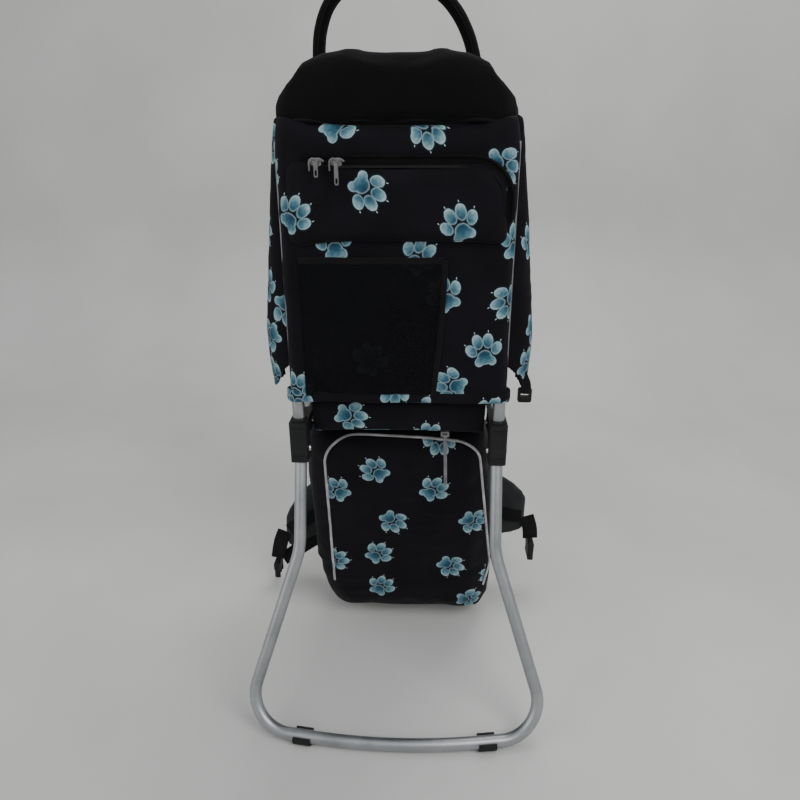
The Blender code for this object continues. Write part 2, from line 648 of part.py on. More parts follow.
# ---------------------------------------------------------------- zips
def build_pocket_zip(mats):
    y = PANEL_BACK - GAP - POCKET_THICK - 0.0008 - GAP
    line = POCKET_TOP
    right = PANEL_HALF - 0.010
    path = rounded_path([(-PANEL_HALF + 0.012, y, line), (right, y, line), (right, y, POCKET_SEAM + 0.030)],
                        (0.030,), 6)
    strap("pocket_zip", path, 0.0016, 0.009, mats["zip_tape"], (0, 1, 0))
    left = -PANEL_HALF + 0.0312
    build_zip_slider(mats, "pocket_slider_left", "pocket_pull_left", (left, y, line), 0.030)
    build_zip_slider(mats, "pocket_slider_right", "pocket_pull_right", (left + 0.022, y, line), 0.034)


def build_zip_slider(mats, slider_name, pull_name, centre, pull_length):
    """A slider on the tape's outer face, and its pull hanging from the slider's bridge."""
    x, y, z = centre
    face = y - 0.0008 - GAP
    block(slider_name, (x - 0.006, face - 0.0036, z - 0.004), (x + 0.006, face, z + 0.004),
          mats["zip_metal"], 0.0015, (x, face, z))
    hang = face - 0.0036 - GAP - 0.0009
    half = PULL_THICK / 2
    outline = rounded_rect(x - 0.0032, x + 0.0032, z - pull_length, z + PULL_THICK / 2, 0.0007, 2)
    slab(pull_name, outline, "Y", hang - half, hang + half, mats["zip_metal"], 0.0, (x, hang, z))


def build_bag_zip(mats):
    z = BAG_TOP - 0.013
    y = bag_front_y(z - 0.0045) - 0.0009 - GAP
    half = BAG_HALF_WIDTH * 0.925 - 0.026
    path = [Vector((-half, y, z)), Vector((0.0, y, z)), Vector((half, y, z))]
    strap("bag_zip", path, 0.009, 0.0012, mats["zip_tape"], (0, 0, 1))
    build_zip_slider(mats, "bag_slider", "bag_pull", (0.062, y, z), 0.062)


# ---------------------------------------------------------------- carrying side
def build_back(mats):
    outline = rounded_rect(-LEG_X - 0.0015, LEG_X + 0.0015, BELT_TOP + 0.006, FRAME_TOP - 0.018, 0.030)
    slab("back_panel", outline, "Y", BACK_Y, BACK_FACE, mats["black_fabric"], 0.006)
    outline = rounded_rect(-LEG_X + 0.0175, LEG_X - 0.0175, BELT_BOTTOM, BELT_TOP, 0.030)
    slab("lumbar_pad", outline, "Y", BACK_Y, BELT_FACE, mats["black_fabric"], 0.006)


def build_handle(mats):
    y = BACK_Y + BACK_THICK / 2
    base = FRAME_TOP - 0.018 + 0.0006
    rise = HANDLE_TOP - base
    path = []
    for i in range(17):
        turn = pi * i / 16
        reach = abs(cos(turn)) ** 0.75 * (1 if cos(turn) > 0 else -1)
        path.append(Vector((-HANDLE_HALF_WIDTH * reach, y, base + rise * sin(turn) ** 0.85)))
    sweep("grab_handle", path, circle_profile(HANDLE_R, 10), mats["webbing"], (0, 1, 0))


def belt_wing_sections(side, droop):
    """Sections of a belt wing from its root to its tip."""
    y = BELT_FACE - 0.011
    rows = ((0.120, y, 0.0045, 0.052, 0.0), (0.136, y - 0.001, 0.010, 0.060, 0.1),
            (0.165, y - 0.010, 0.0105, 0.058, 0.4), (0.190, y - 0.022, 0.0095, 0.046, 0.75),
            (0.208, y - 0.032, 0.006, 0.026, 1.0))
    mid = (BELT_BOTTOM + BELT_TOP) / 2
    rings = []
    for x, centre, half_thick, half_high, share in rows:
        z = mid - droop * share
        ring = [(side * x, centre + half_thick * u, z + half_high * v)
                for u, v in rounded_rect(-1, 1, -1, 1, 0.45, 2)]
        rings.append(ring)
    return rings


def build_belt(mats):
    for side, name, droop in ((-1, "left", 0.040), (1, "right", 0.0)):
        pivot = (side * 0.1145, BELT_FACE - 0.011, (BELT_BOTTOM + BELT_TOP) / 2)
        loft("belt_wing_" + name, belt_wing_sections(side, droop), mats["black_fabric"], pivot)
        mid = (BELT_BOTTOM + BELT_TOP) / 2 - droop
        tip_y = BELT_FACE - 0.043
        start = Vector((side * 0.2095, tip_y, mid))
        falls = ((-0.008, -0.022), (-0.014, -0.052)) if side < 0 else ((0.006, -0.020), (0.008, -0.040))
        turn = start + Vector((falls[0][0], -0.004, falls[0][1]))
        path = smooth_path([start, turn, start + Vector((falls[1][0], -0.006, falls[1][1]))], 4)
        strap("belt_strap_" + name, path, 0.026, WEBBING, mats["webbing"], (0, 1, 0), pivot)
        end = path[-1]
        kind = "belt_buckle_plug" if side < 0 else "belt_buckle_socket"
        low = (end.x - 0.006, end.y - 0.018, end.z - 0.034)
        high = (end.x + 0.006, end.y + 0.018, end.z - 0.0012)
        block(kind, low, high, mats["black_plastic"], 0.003, pivot)


def strap_height(share):
    """A height between the belt's top and the frame's top."""
    return BELT_TOP + share * (FRAME_TOP - BELT_TOP)


def shoulder_path(side):
    near = BACK_FACE + SHOULDER_THICK / 2 + 0.001
    far = near + SHOULDER_REACH
    rows = ((0.046, near, 0.788), (0.048, near + 0.026, 0.850), (0.052, far - 0.010, 0.830),
            (0.056, far, 0.739), (0.062, far, 0.624), (0.070, far, 0.477), (0.084, far - 0.012, 0.330),
            (0.098, far - 0.036, 0.208), (0.106, near + 0.006, 0.110), (0.108, near, 0.052))
    return smooth_path([(side * x, y, strap_height(share)) for x, y, share in rows], 3)


def build_shoulder_straps(mats):
    for side, name in ((-1, "left"), (1, "right")):
        path = shoulder_path(side)
        pad_strap("shoulder_strap_" + name, path, SHOULDER_WIDTH, SHOULDER_THICK, mats["black_fabric"])
        y = BACK_FACE + 0.002
        over = BACK_FACE + SHOULDER_REACH
        top = FRAME_TOP - 0.038
        lifter = smooth_path([(side * 0.054, y, top), (side * 0.054, y + 0.026, top - 0.006),
                              (side * 0.054, over - 0.004, top - 0.040),
                              (side * 0.055, over + 0.0055, strap_height(0.830))], 3)
        strap("load_lifter_" + name, lifter, 0.020, WEBBING, mats["webbing"])


def build_sternum(mats):
    y = BACK_FACE + 0.001 + SHOULDER_REACH + SHOULDER_THICK + 0.0034
    z = strap_height(STERNUM_SHARE)
    back, front = y - 0.0010, y + 0.0085
    middle = (back + front) / 2
    for side, name in ((-1, "left"), (1, "right")):
        path = [Vector((side * 0.082, y, z)), Vector((side * 0.050, y, z)), Vector((side * 0.0205, y, z))]
        strap("sternum_strap_" + name, path, 0.020, WEBBING, mats["webbing"], (0, 0, 1))
    socket = block("sternum_socket", (-0.020, back, z - 0.013), (0.003, front, z + 0.013),
                   mats["black_plastic"], 0.003)
    plug = block("sternum_plug", (0.0034, back, z - 0.0125), (0.020, front, z + 0.0125),
                 mats["black_plastic"], 0.003)
    tongue = block("sternum_tongue", (-0.012, middle - 0.0018, z - 0.005),
                   (0.008, middle + 0.0018, z + 0.005), mats["black_plastic"], 0.0008)
    pocket = block("sternum_pocket", (-0.0124, middle - 0.0022, z - 0.0054),
                   (0.008, middle + 0.0022, z + 0.0054), mats["black_plastic"], 0.0009)
    combine(plug, tongue, "UNION")
    combine(socket, pocket, "DIFFERENCE")


def main():
    clear_scene()
    mats = make_materials()
    build_main_frame(mats)
    build_rails(mats)
    build_hinges(mats)
    build_uprights(mats)
    build_stand(mats)
    build_rear_panel(mats)
    build_collar(mats)
    build_side_panels(mats)
    build_seat(mats)
    build_harness(mats)
    build_lower_bag(mats)
    build_pocket_zip(mats)
    build_bag_zip(mats)
    build_back(mats)
    build_handle(mats)
    build_belt(mats)
    build_shoulder_straps(mats)
    build_sternum(mats)


main()
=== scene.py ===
"""Looks for the framed child carrier backpack: fabric, print, padding, zips, tubes and plastic."""
from math import atan2, cos, floor, pi, radians, sin, tan

import bmesh
import bpy
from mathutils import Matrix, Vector, noise
from mathutils.bvhtree import BVHTree


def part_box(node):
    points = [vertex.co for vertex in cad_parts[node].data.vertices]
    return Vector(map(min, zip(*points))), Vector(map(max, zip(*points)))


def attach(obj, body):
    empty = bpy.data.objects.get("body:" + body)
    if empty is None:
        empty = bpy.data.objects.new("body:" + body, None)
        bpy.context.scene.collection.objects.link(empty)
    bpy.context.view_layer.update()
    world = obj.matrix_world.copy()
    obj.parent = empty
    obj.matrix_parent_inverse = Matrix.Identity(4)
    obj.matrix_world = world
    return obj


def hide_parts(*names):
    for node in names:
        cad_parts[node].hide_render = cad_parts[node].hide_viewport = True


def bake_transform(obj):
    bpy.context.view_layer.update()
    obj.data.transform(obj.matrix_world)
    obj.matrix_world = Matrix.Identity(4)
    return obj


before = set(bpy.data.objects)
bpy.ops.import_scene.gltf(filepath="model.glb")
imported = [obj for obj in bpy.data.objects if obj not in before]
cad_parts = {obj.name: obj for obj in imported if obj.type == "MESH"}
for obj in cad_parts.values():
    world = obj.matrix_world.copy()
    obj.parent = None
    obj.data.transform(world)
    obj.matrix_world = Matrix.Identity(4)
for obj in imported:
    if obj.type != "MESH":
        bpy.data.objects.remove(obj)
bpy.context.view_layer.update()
scene = bpy.context.scene


# ---------------------------------------------------------------- places read from the frame
def low(node):
    return Vector(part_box(node)[0])


def high(node):
    return Vector(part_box(node)[1])


def middle(node):
    return (low(node) + high(node)) / 2


TUBE_R = (high("rear_upright_left").x - low("rear_upright_left").x) / 2
LEG_X = middle("rear_upright_right").x
HINGE_Y = middle("rear_upright_right").y
PIVOT_Z = middle("hinge_pin_right").z
FRAME_R = (high("main_frame").y - low("main_frame").y) / 2
FRAME_Y = middle("main_frame").y
FRAME_X = high("main_frame").x - FRAME_R
FRAME_TOP = high("main_frame").z - FRAME_R
SLEEVE_R = (high("pole_sleeve_left").x - low("pole_sleeve_left").x) / 2
PANEL_BOTTOM = low("pole_sleeve_left").z
PANEL_TOP = high("rear_panel").z + 0.004
PANEL_BACK = low("rear_panel").y
PANEL_FRONT = high("rear_panel").y
BAR_Z = high("stand_foot_left").z * 0.5
BACK_Y = low("back_panel").y
BACK_FACE = high("back_panel").y
BELT_FACE = high("lumbar_pad").y
BAG_LOW = low("lower_bag")
BAG_HIGH = high("lower_bag")


# ---------------------------------------------------------------- shader building
class Graph:
    """A small helper for building one material's nodes."""

    def __init__(self, name, roughness, metallic=0.0, sheen=0.0, specular=0.5):
        self.material = bpy.data.materials.new(name)
        self.material.use_nodes = True
        self.tree = self.material.node_tree
        self.shader = self.tree.nodes["Principled BSDF"]
        self.set("Roughness", roughness)
        self.set("Metallic", metallic)
        self.set("Sheen Weight", sheen)
        self.set("Specular IOR Level", specular)

    def set(self, socket, value):
        self.shader.inputs[socket].default_value = value

    def node(self, kind, **values):
        node = self.tree.nodes.new(kind)
        for key, value in values.items():
            setattr(node, key, value)
        return node

    def link(self, source, target):
        self.tree.links.new(source, target)

    def feed(self, node, index, source):
        """A socket gets a link or a plain value."""
        if hasattr(source, "is_output"):
            self.link(source, node.inputs[index])
        else:
            node.inputs[index].default_value = source

    def math(self, operation, *sources):
        node = self.node("ShaderNodeMath", operation=operation)
        for index, source in enumerate(sources):
            self.feed(node, index, source)
        return node.outputs[0]

    def vector(self, operation, *sources):
        node = self.node("ShaderNodeVectorMath", operation=operation)
        for index, source in enumerate(sources):
            self.feed(node, index, source)
        return node.outputs["Value" if operation in ("LENGTH", "DOT_PRODUCT") else "Vector"]

    def place(self):
        return self.node("ShaderNodeTexCoord").outputs["Object"]

    def uv(self, name):
        return self.node("ShaderNodeUVMap", uv_map=name).outputs["UV"]

    def noise(self, where, scale, detail=3.0, rough=0.5):
        node = self.node("ShaderNodeTexNoise")
        self.link(where, node.inputs["Vector"])
        node.inputs["Scale"].default_value = scale
        node.inputs["Detail"].default_value = detail
        node.inputs["Roughness"].default_value = rough
        return node.outputs["Fac"]

    def split(self, where):
        node = self.node("ShaderNodeSeparateXYZ")
        self.link(where, node.inputs[0])
        return node.outputs

    def ramp(self, value, stops):
        node = self.node("ShaderNodeValToRGB")
        points = node.color_ramp.elements
        while len(points) < len(stops):
            points.new(0.5)
        for point, (at, color) in zip(points, stops):
            point.position = at
            point.color = (*color, 1.0)
        self.link(value, node.inputs[0])
        return node.outputs["Color"]

    def mix(self, amount, first, second):
        node = self.node("ShaderNodeMix", data_type="RGBA")
        self.feed(node, 0, amount)
        for index, source in ((6, first), (7, second)):
            if hasattr(source, "is_output"):
                self.link(source, node.inputs[index])
            else:
                node.inputs[index].default_value = (*source, 1.0)
        return node.outputs[2]

    def bump(self, height, strength, distance):
        node = self.node("ShaderNodeBump")
        node.inputs["Strength"].default_value = strength
        node.inputs["Distance"].default_value = distance
        self.link(height, node.inputs["Height"])
        self.link(node.outputs["Normal"], self.shader.inputs["Normal"])

    def color(self, source):
        self.link(source, self.shader.inputs["Base Color"])

    def weave(self, where, pitch):
        """Height of a plain weave with the given thread pitch in metres."""
        x, y, z = self.split(where)[:3]
        waves = []
        for axis in (self.math("ADD", x, y), z):
            waves.append(self.math("SINE", self.math("MULTIPLY", axis, 2 * pi / pitch)))
        return self.math("MULTIPLY", waves[0], waves[1])


PAW_TOES = ((-0.272, 0.030, 28, 0.108, 0.150), (-0.112, 0.215, 9, 0.112, 0.168),
            (0.112, 0.215, -9, 0.112, 0.168), (0.272, 0.030, -28, 0.108, 0.150))
PAW_PAD = ((0.0, -0.130, 0, 0.160, 0.150), (-0.130, -0.235, -30, 0.098, 0.110),
           (0.130, -0.235, 30, 0.098, 0.110), (0.0, -0.215, 0, 0.160, 0.090))
PAW_CLAWS = ((-0.385, 0.190, 30, 0.011, 0.026), (-0.148, 0.425, 8, 0.011, 0.028),
             (0.148, 0.425, -8, 0.011, 0.028), (0.385, 0.190, -30, 0.011, 0.026))


def paw_distance(g, local, shapes):
    """Smallest scaled distance to a set of turned ellipses: below 1 is inside one."""
    nearest = None
    for x, y, turn, wide, tall in shapes:
        mapping = g.node("ShaderNodeMapping", vector_type="TEXTURE")
        mapping.inputs["Location"].default_value = (x, y, 0)
        mapping.inputs["Rotation"].default_value = (0, 0, radians(turn))
        mapping.inputs["Scale"].default_value = (wide, tall, 1)
        g.link(local, mapping.inputs["Vector"])
        length = g.vector("LENGTH", mapping.outputs[0])
        nearest = length if nearest is None else g.math("SMOOTH_MIN", nearest, length, 0.08)
    return nearest


def printed_material():
    """Near-black polyester with a painted paw print, laid out by the print coordinates."""
    g = Graph("printed_fabric", 0.70, sheen=0.03, specular=0.10)
    where = g.place()
    local = g.uv("print")
    wobble = g.math("SUBTRACT", g.noise(where, 260.0, 3.0), 0.5)
    pads = paw_distance(g, local, PAW_PAD)
    toes = paw_distance(g, local, PAW_TOES)
    claws = paw_distance(g, local, PAW_CLAWS)
    nearest = g.math("MINIMUM", g.math("MINIMUM", pads, toes), g.math("ADD", claws, 0.10))
    edge = g.math("ADD", nearest, g.math("MULTIPLY", wobble, 0.24))
    reach = g.math("ADD", g.vector("LENGTH", local), g.math("MULTIPLY", wobble, 0.20))
    ink = g.ramp(reach, ((0.06, (0.014, 0.055, 0.090)), (0.17, (0.030, 0.100, 0.148)),
                         (0.26, (0.085, 0.195, 0.245)), (0.35, (0.240, 0.370, 0.405)),
                         (0.46, (0.450, 0.545, 0.560))))
    rim = g.node("ShaderNodeMapRange", interpolation_type="SMOOTHSTEP")
    g.link(edge, rim.inputs["Value"])
    rim.inputs["From Min"].default_value = 0.70
    rim.inputs["From Max"].default_value = 1.00
    rim.inputs["To Max"].default_value = 0.42
    painted = g.mix(rim.outputs[0], ink, (0.480, 0.620, 0.640))
    mottle = g.noise(where, 18.0, 4.0)
    cloth = g.ramp(mottle, ((0.3, (0.0030, 0.0026, 0.0042)), (0.7, (0.0062, 0.0050, 0.0085))))
    halo = g.node("ShaderNodeMapRange", interpolation_type="SMOOTHSTEP")
    g.link(edge, halo.inputs["Value"])
    halo.inputs["From Min"].default_value = 1.45
    halo.inputs["From Max"].default_value = 1.05
    ground = g.mix(halo.outputs[0], cloth, (0.0024, 0.0110, 0.0190))
    inside = g.node("ShaderNodeMapRange", interpolation_type="SMOOTHSTEP")
    g.link(edge, inside.inputs["Value"])
    inside.inputs["From Min"].default_value = 1.08
    inside.inputs["From Max"].default_value = 0.94
    g.color(g.mix(inside.outputs[0], ground, painted))
    g.bump(g.math("ADD", g.weave(where, 0.0011), g.math("MULTIPLY", mottle, 2.0)), 0.35, 0.0003)
    return g.material


def black_fabric_material(name, light, pitch=0.0013, fuzz=0.5):
    """Matte black cloth with a soft nap and faint wear."""
    g = Graph(name, 0.88, sheen=fuzz, specular=0.08)
    g.set("Sheen Roughness", 0.6)
    where = g.place()
    patch = g.noise(where, 14.0, 5.0, 0.6)
    nap = g.noise(where, 900.0, 2.0)
    tone = g.math("ADD", g.math("MULTIPLY", patch, 0.6), g.math("MULTIPLY", nap, 0.4))
    dark = tuple(c * 0.55 for c in light)
    g.color(g.ramp(tone, ((0.3, dark), (0.7, light))))
    g.bump(g.math("ADD", g.weave(where, pitch), nap), 0.5, 0.0004)
    return g.material


def mesh_material():
    """Open knitted mesh: the holes let what is behind it show faintly."""
    g = Graph("mesh_fabric", 0.85, sheen=0.03, specular=0.08)
    where = g.place()
    x, y, z = g.split(where)[:3]
    pitch = 2 * pi / 0.0024
    grid = g.math("MULTIPLY", g.math("SINE", g.math("MULTIPLY", x, pitch)),
                  g.math("SINE", g.math("MULTIPLY", z, pitch)))
    g.color(g.mix(g.noise(where, 25.0, 3.0), (0.0030, 0.0030, 0.0040), (0.0065, 0.0065, 0.0080)))
    g.link(g.math("SUBTRACT", 0.74, g.math("MULTIPLY", grid, 0.20)), g.shader.inputs["Alpha"])
    g.bump(grid, 0.4, 0.0003)
    return g.material


def webbing_material(name="webbing", light=(0.016, 0.016, 0.018)):
    """Woven strap: ribs across it and a herringbone that runs along it."""
    g = Graph(name, 0.75, sheen=0.05, specular=0.15)
    u, v = g.split(g.uv("length"))[:2]
    slant = g.math("ADD", v, g.math("ABSOLUTE", g.math("SUBTRACT", g.math("FRACT", g.math("MULTIPLY", u, 160.0)), 0.5)))
    ribs = g.math("SINE", g.math("MULTIPLY", v, 2 * pi / 0.0016))
    bone = g.math("SINE", g.math("MULTIPLY", slant, 90.0))
    tone = g.noise(g.place(), 60.0, 3.0)
    g.color(g.ramp(tone, ((0.35, tuple(c * 0.6 for c in light)), (0.7, light))))
    g.bump(g.math("ADD", ribs, bone), 0.5, 0.0003)
    return g.material


def aluminium_material():
    """Satin anodised tube: fine drawn lines, soft smudges and small scuffs."""
    g = Graph("aluminium", 0.38, metallic=1.0)
    where = g.place()
    stretch = g.node("ShaderNodeMapping")
    stretch.inputs["Scale"].default_value = (1.0, 1.0, 0.04)
    g.link(where, stretch.inputs["Vector"])
    lines = g.noise(stretch.outputs[0], 1400.0, 2.0)
    smudge = g.noise(where, 22.0, 5.0, 0.6)
    g.color(g.ramp(smudge, ((0.3, (0.34, 0.345, 0.36)), (0.65, (0.45, 0.455, 0.47)))))
    rough = g.math("ADD", g.math("MULTIPLY", smudge, 0.22), 0.32)
    g.link(rough, g.shader.inputs["Roughness"])
    g.bump(g.math("ADD", lines, g.math("MULTIPLY", smudge, 0.3)), 0.12, 0.0002)
    return g.material


def plastic_material(name, color, roughness, grain=0.25):
    """Moulded plastic with a fine spark-eroded grain and handled edges."""
    g = Graph(name, roughness, specular=0.28)
    where = g.place()
    fine = g.noise(where, 1600.0, 2.0)
    wear = g.noise(where, 70.0, 4.0, 0.65)
    g.color(g.ramp(wear, ((0.35, color), (0.8, tuple(min(1.0, c * 1.9 + 0.004) for c in color)))))
    g.link(g.math("ADD", g.math("MULTIPLY", wear, 0.2), roughness - 0.1), g.shader.inputs["Roughness"])
    g.bump(fine, grain, 0.0002)
    return g.material


def steel_material(name, color, roughness):
    g = Graph(name, roughness, metallic=1.0)
    where = g.place()
    wear = g.noise(where, 160.0, 4.0)
    g.color(g.ramp(wear, ((0.3, tuple(c * 0.7 for c in color)), (0.7, color))))
    g.bump(g.noise(where, 1200.0, 2.0), 0.1, 0.0001)
    return g.material


def floor_material():
    g = Graph("pale_floor", 0.55, specular=0.3)
    where = g.place()
    tone = g.noise(where, 3.0, 4.0)
    g.color(g.ramp(tone, ((0.3, (0.52, 0.52, 0.50)), (0.7, (0.58, 0.58, 0.56)))))
    return g.material


MATS = {
    "printed_fabric": printed_material(),
    "black_fabric": black_fabric_material("black_fabric", (0.0034, 0.0031, 0.0037), 0.0013, 0.035),
    "air_mesh": black_fabric_material("air_mesh", (0.011, 0.011, 0.012), 0.0036, 0.12),
    "belt_cloth": black_fabric_material("belt_cloth", (0.040, 0.040, 0.043), 0.0020, 0.12),
    "mesh_fabric": mesh_material(),
    "webbing": webbing_material("webbing", (0.010, 0.010, 0.011)),
    "binding": webbing_material("binding", (0.0042, 0.0040, 0.0048)),
    "piping": webbing_material("piping", (0.62, 0.59, 0.61)),
    "grey_tape": webbing_material("grey_tape", (0.25, 0.24, 0.26)),
    "grey_cord": webbing_material("grey_cord", (0.22, 0.21, 0.22)),
    "zip_tape": webbing_material("zip_tape", (0.0045, 0.0045, 0.0055)),
    "aluminium": aluminium_material(),
    "black_plastic": plastic_material("black_plastic", (0.006, 0.006, 0.0065), 0.58),
    "rubber": plastic_material("rubber", (0.008, 0.008, 0.008), 0.8, 0.5),
    "steel": steel_material("steel", (0.60, 0.60, 0.61), 0.34),
    "zip_metal": steel_material("zip_metal", (0.30, 0.29, 0.29), 0.42),
}


# ---------------------------------------------------------------- mesh building
def make(name, points, faces, material, body="pack", uvs=None, smooth=True):
    """A piece from points and faces; uvs are metres across and along, per point."""
    mesh = bpy.data.meshes.new(name)
    mesh.from_pydata([tuple(p) for p in points], [], faces)
    if uvs:
        layer = mesh.uv_layers.new(name="length")
        for loop in mesh.loops:
            layer.data[loop.index].uv = uvs[loop.vertex_index]
    bm = bmesh.new()
    bm.from_mesh(mesh)
    bmesh.ops.recalc_face_normals(bm, faces=bm.faces)
    bm.to_mesh(mesh)
    bm.free()
    if smooth:
        mesh.shade_smooth()
        mesh.set_sharp_from_angle(angle=radians(40))
    piece = bpy.data.objects.new(name, mesh)
    scene.collection.objects.link(piece)
    finish(piece, material, body)
    return piece


def finish(piece, material, body):
    piece.data.materials.clear()
    piece.data.materials.append(MATS[material])
    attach(piece, body)


def bake(piece):
    """Turns a piece's modifiers into its mesh."""
    graph = bpy.context.evaluated_depsgraph_get()
    graph.update()
    mesh = bpy.data.meshes.new_from_object(piece.evaluated_get(graph), depsgraph=graph)
    piece.modifiers.clear()
    old = piece.data
    piece.data = mesh
    mesh.name = piece.name
    bpy.data.meshes.remove(old)


def smooth_shade(piece, angle=50):
    piece.data.shade_smooth()
    piece.data.set_sharp_from_angle(angle=radians(angle))


def rounded(piece, width, segments=3):
    """Bevelled edges, applied."""
    modifier = piece.modifiers.new("bevel", "BEVEL")
    modifier.width = width
    modifier.segments = segments
    modifier.limit_method = "ANGLE"
    modifier.angle_limit = radians(35)
    bake(piece)
    smooth_shade(piece, 40)
    return piece


def arc(centre, radius, start, end, steps):
    angles = [radians(start + (end - start) * i / steps) for i in range(steps + 1)]
    return [(centre[0] + radius * cos(a), centre[1] + radius * sin(a)) for a in angles]


def rounded_rect(u0, u1, v0, v1, radius, steps=6):
    return (arc((u1 - radius, v1 - radius), radius, 0, 90, steps)
            + arc((u0 + radius, v1 - radius), radius, 90, 180, steps)
            + arc((u0 + radius, v0 + radius), radius, 180, 270, steps)
            + arc((u1 - radius, v0 + radius), radius, 270, 360, steps))


def place(axis, depth, u, v):
    return {"X": (depth, u, v), "Y": (u, depth, v), "Z": (u, v, depth)}[axis]


def ring_faces(rings, count, closed=False):
    faces = []
    for row in range(rings if closed else rings - 1):
        first = row * count
        second = ((row + 1) % rings) * count
        for i in range(count):
            j = (i + 1) % count
            faces.append((first + i, first + j, second + j, second + i))
    if not closed:
        faces.append(tuple(range(count))[::-1])
        faces.append(tuple((rings - 1) * count + i for i in range(count)))
    return faces


def loft(name, rings, material, body="pack", uvs=None):
    points = [p for ring in rings for p in ring]
    return make(name, points, ring_faces(len(rings), len(rings[0])), material, body, uvs)


def slab(name, outline, axis, start, end, material, body="pack"):
    rings = [[place(axis, d, u, v) for u, v in outline] for d in (start, end)]
    return loft(name, rings, material, body)


def smooth_path(points, per_span=6):
    """A Catmull-Rom curve through the points."""
    pts = [Vector(p) for p in points]
    pts = [pts[0] * 2 - pts[1]] + pts + [pts[-1] * 2 - pts[-2]]
    path = []
    for a, b, c, d in zip(pts, pts[1:], pts[2:], pts[3:]):
        for i in range(per_span):
            t = i / per_span
            path.append(0.5 * (2 * b + (c - a) * t + (2 * a - 5 * b + 4 * c - d) * t ** 2
                               + (3 * b - a - 3 * c + d) * t ** 3))
    path.append(pts[-2])
    return path


def rounded_path(corners, radii, steps=10):
    """Straight runs joined by true arcs at the inner corners."""
    corners = [Vector(c) for c in corners]
    path = [corners[0]]
    for before, corner, after, radius in zip(corners, corners[1:], corners[2:], radii):
        back = (before - corner).normalized()
        ahead = (after - corner).normalized()
        half = back.angle(ahead) / 2
        reach = radius / tan(half)
        centre = corner + (back + ahead).normalized() * (radius / sin(half))
        start = corner + back * reach - centre
        end = corner + ahead * reach - centre
        sweep_angle = start.angle(end)
        for i in range(steps + 1):
            t = i / steps
            path.append(centre + start * sin((1 - t) * sweep_angle) / sin(sweep_angle)
                        + end * sin(t * sweep_angle) / sin(sweep_angle))
    path.append(corners[-1])
    return path


def frames_along(path, side=None, closed=False):
    result = []
    last = None
    count = len(path)
    for i, point in enumerate(path):
        ahead = path[(i + 1) % count] if closed else path[min(i + 1, count - 1)]
        behind = path[i - 1] if closed else path[max(i - 1, 0)]
        tangent = (ahead - behind).normalized()
        if side is not None:
            guide = side[i] if isinstance(side, list) else Vector(side)
        elif last is None:
            guide = Vector((0, 1, 0)) if abs(tangent.y) < 0.8 else Vector((0, 0, 1))
        else:
            guide = last
        first = (guide - tangent * guide.dot(tangent)).normalized()
        last = first
        result.append((point, first, tangent.cross(first)))
    return result


def sweep(name, path, profile, material, body="pack", side=None, closed=False):
    """A profile swept along a path, with coordinates in metres across and along it."""
    rings = [[point + first * u + second * v for u, v in profile]
             for point, first, second in frames_along(path, side, closed)]
    around = [0.0]
    for (u0, v0), (u1, v1) in zip(profile, profile[1:]):
        around.append(around[-1] + ((u1 - u0) ** 2 + (v1 - v0) ** 2) ** 0.5)
    uvs = []
    along = 0.0
    for i in range(len(path)):
        if i:
            along += (path[i] - path[i - 1]).length
        uvs += [(a, along) for a in around]
    points = [p for ring in rings for p in ring]
    return make(name, points, ring_faces(len(rings), len(profile), closed), material, body, uvs)


def circle(radius, sides=16):
    return [(radius * cos(2 * pi * i / sides), radius * sin(2 * pi * i / sides)) for i in range(sides)]


def cord_piece(name, path, radius, material, body="pack", closed=False, sides=10):
    return sweep(name, path, circle(radius, sides), material, body, None, closed)


def strap_profile(width, thick):
    """A flat woven strap with softly rounded selvedges."""
    w, t = width / 2, thick / 2
    right = arc((w - t, 0), t, -90, 90, 4)
    left = arc((-w + t, 0), t, 90, 270, 4)
    inner = [(w * share, t) for share in (0.6, 0.2, -0.2, -0.6)]
    return right + inner + left + [(-u, -v) for u, v in inner]


def strap(name, path, width, thick, material, body="pack", side=(1, 0, 0)):
    return sweep(name, path, strap_profile(width, thick), material, body, side)


def pad_profile(width, thick, steps=28, power=0.55):
    """A crowned pad section with thin sewn edges."""
    ring = []
    for i in range(steps):
        a = 2 * pi * i / steps
        c, s = cos(a), sin(a)
        ring.append((width / 2 * (abs(c) ** power) * (1 if c > 0 else -1),
                     thick / 2 * s * (0.75 + 0.25 * abs(s))))
    return ring


def turned(name, profile, centre, axis, material, body="pack", sides=32):
    """A profile of (radius, distance) turned round an axis; it starts and ends near the axis."""
    rings = []
    for radius, along in profile:
        rings.append([place(axis, along, centre[0] + max(radius, 1e-5) * cos(2 * pi * i / sides),
                            centre[1] + max(radius, 1e-5) * sin(2 * pi * i / sides)) for i in range(sides)])
    return loft(name, rings, material, body)


def join(name, pieces, material, body):
    """Several shapes become one piece."""
    bm = bmesh.new()
    for piece in pieces:
        bm.from_mesh(piece.data)
    mesh = bpy.data.meshes.new(name)
    bm.to_mesh(mesh)
    bm.free()
    for piece in pieces:
        data = piece.data
        bpy.data.objects.remove(piece, do_unlink=True)
        bpy.data.meshes.remove(data)
    whole = bpy.data.objects.new(name, mesh)
    scene.collection.objects.link(whole)
    finish(whole, material, body)
    return whole


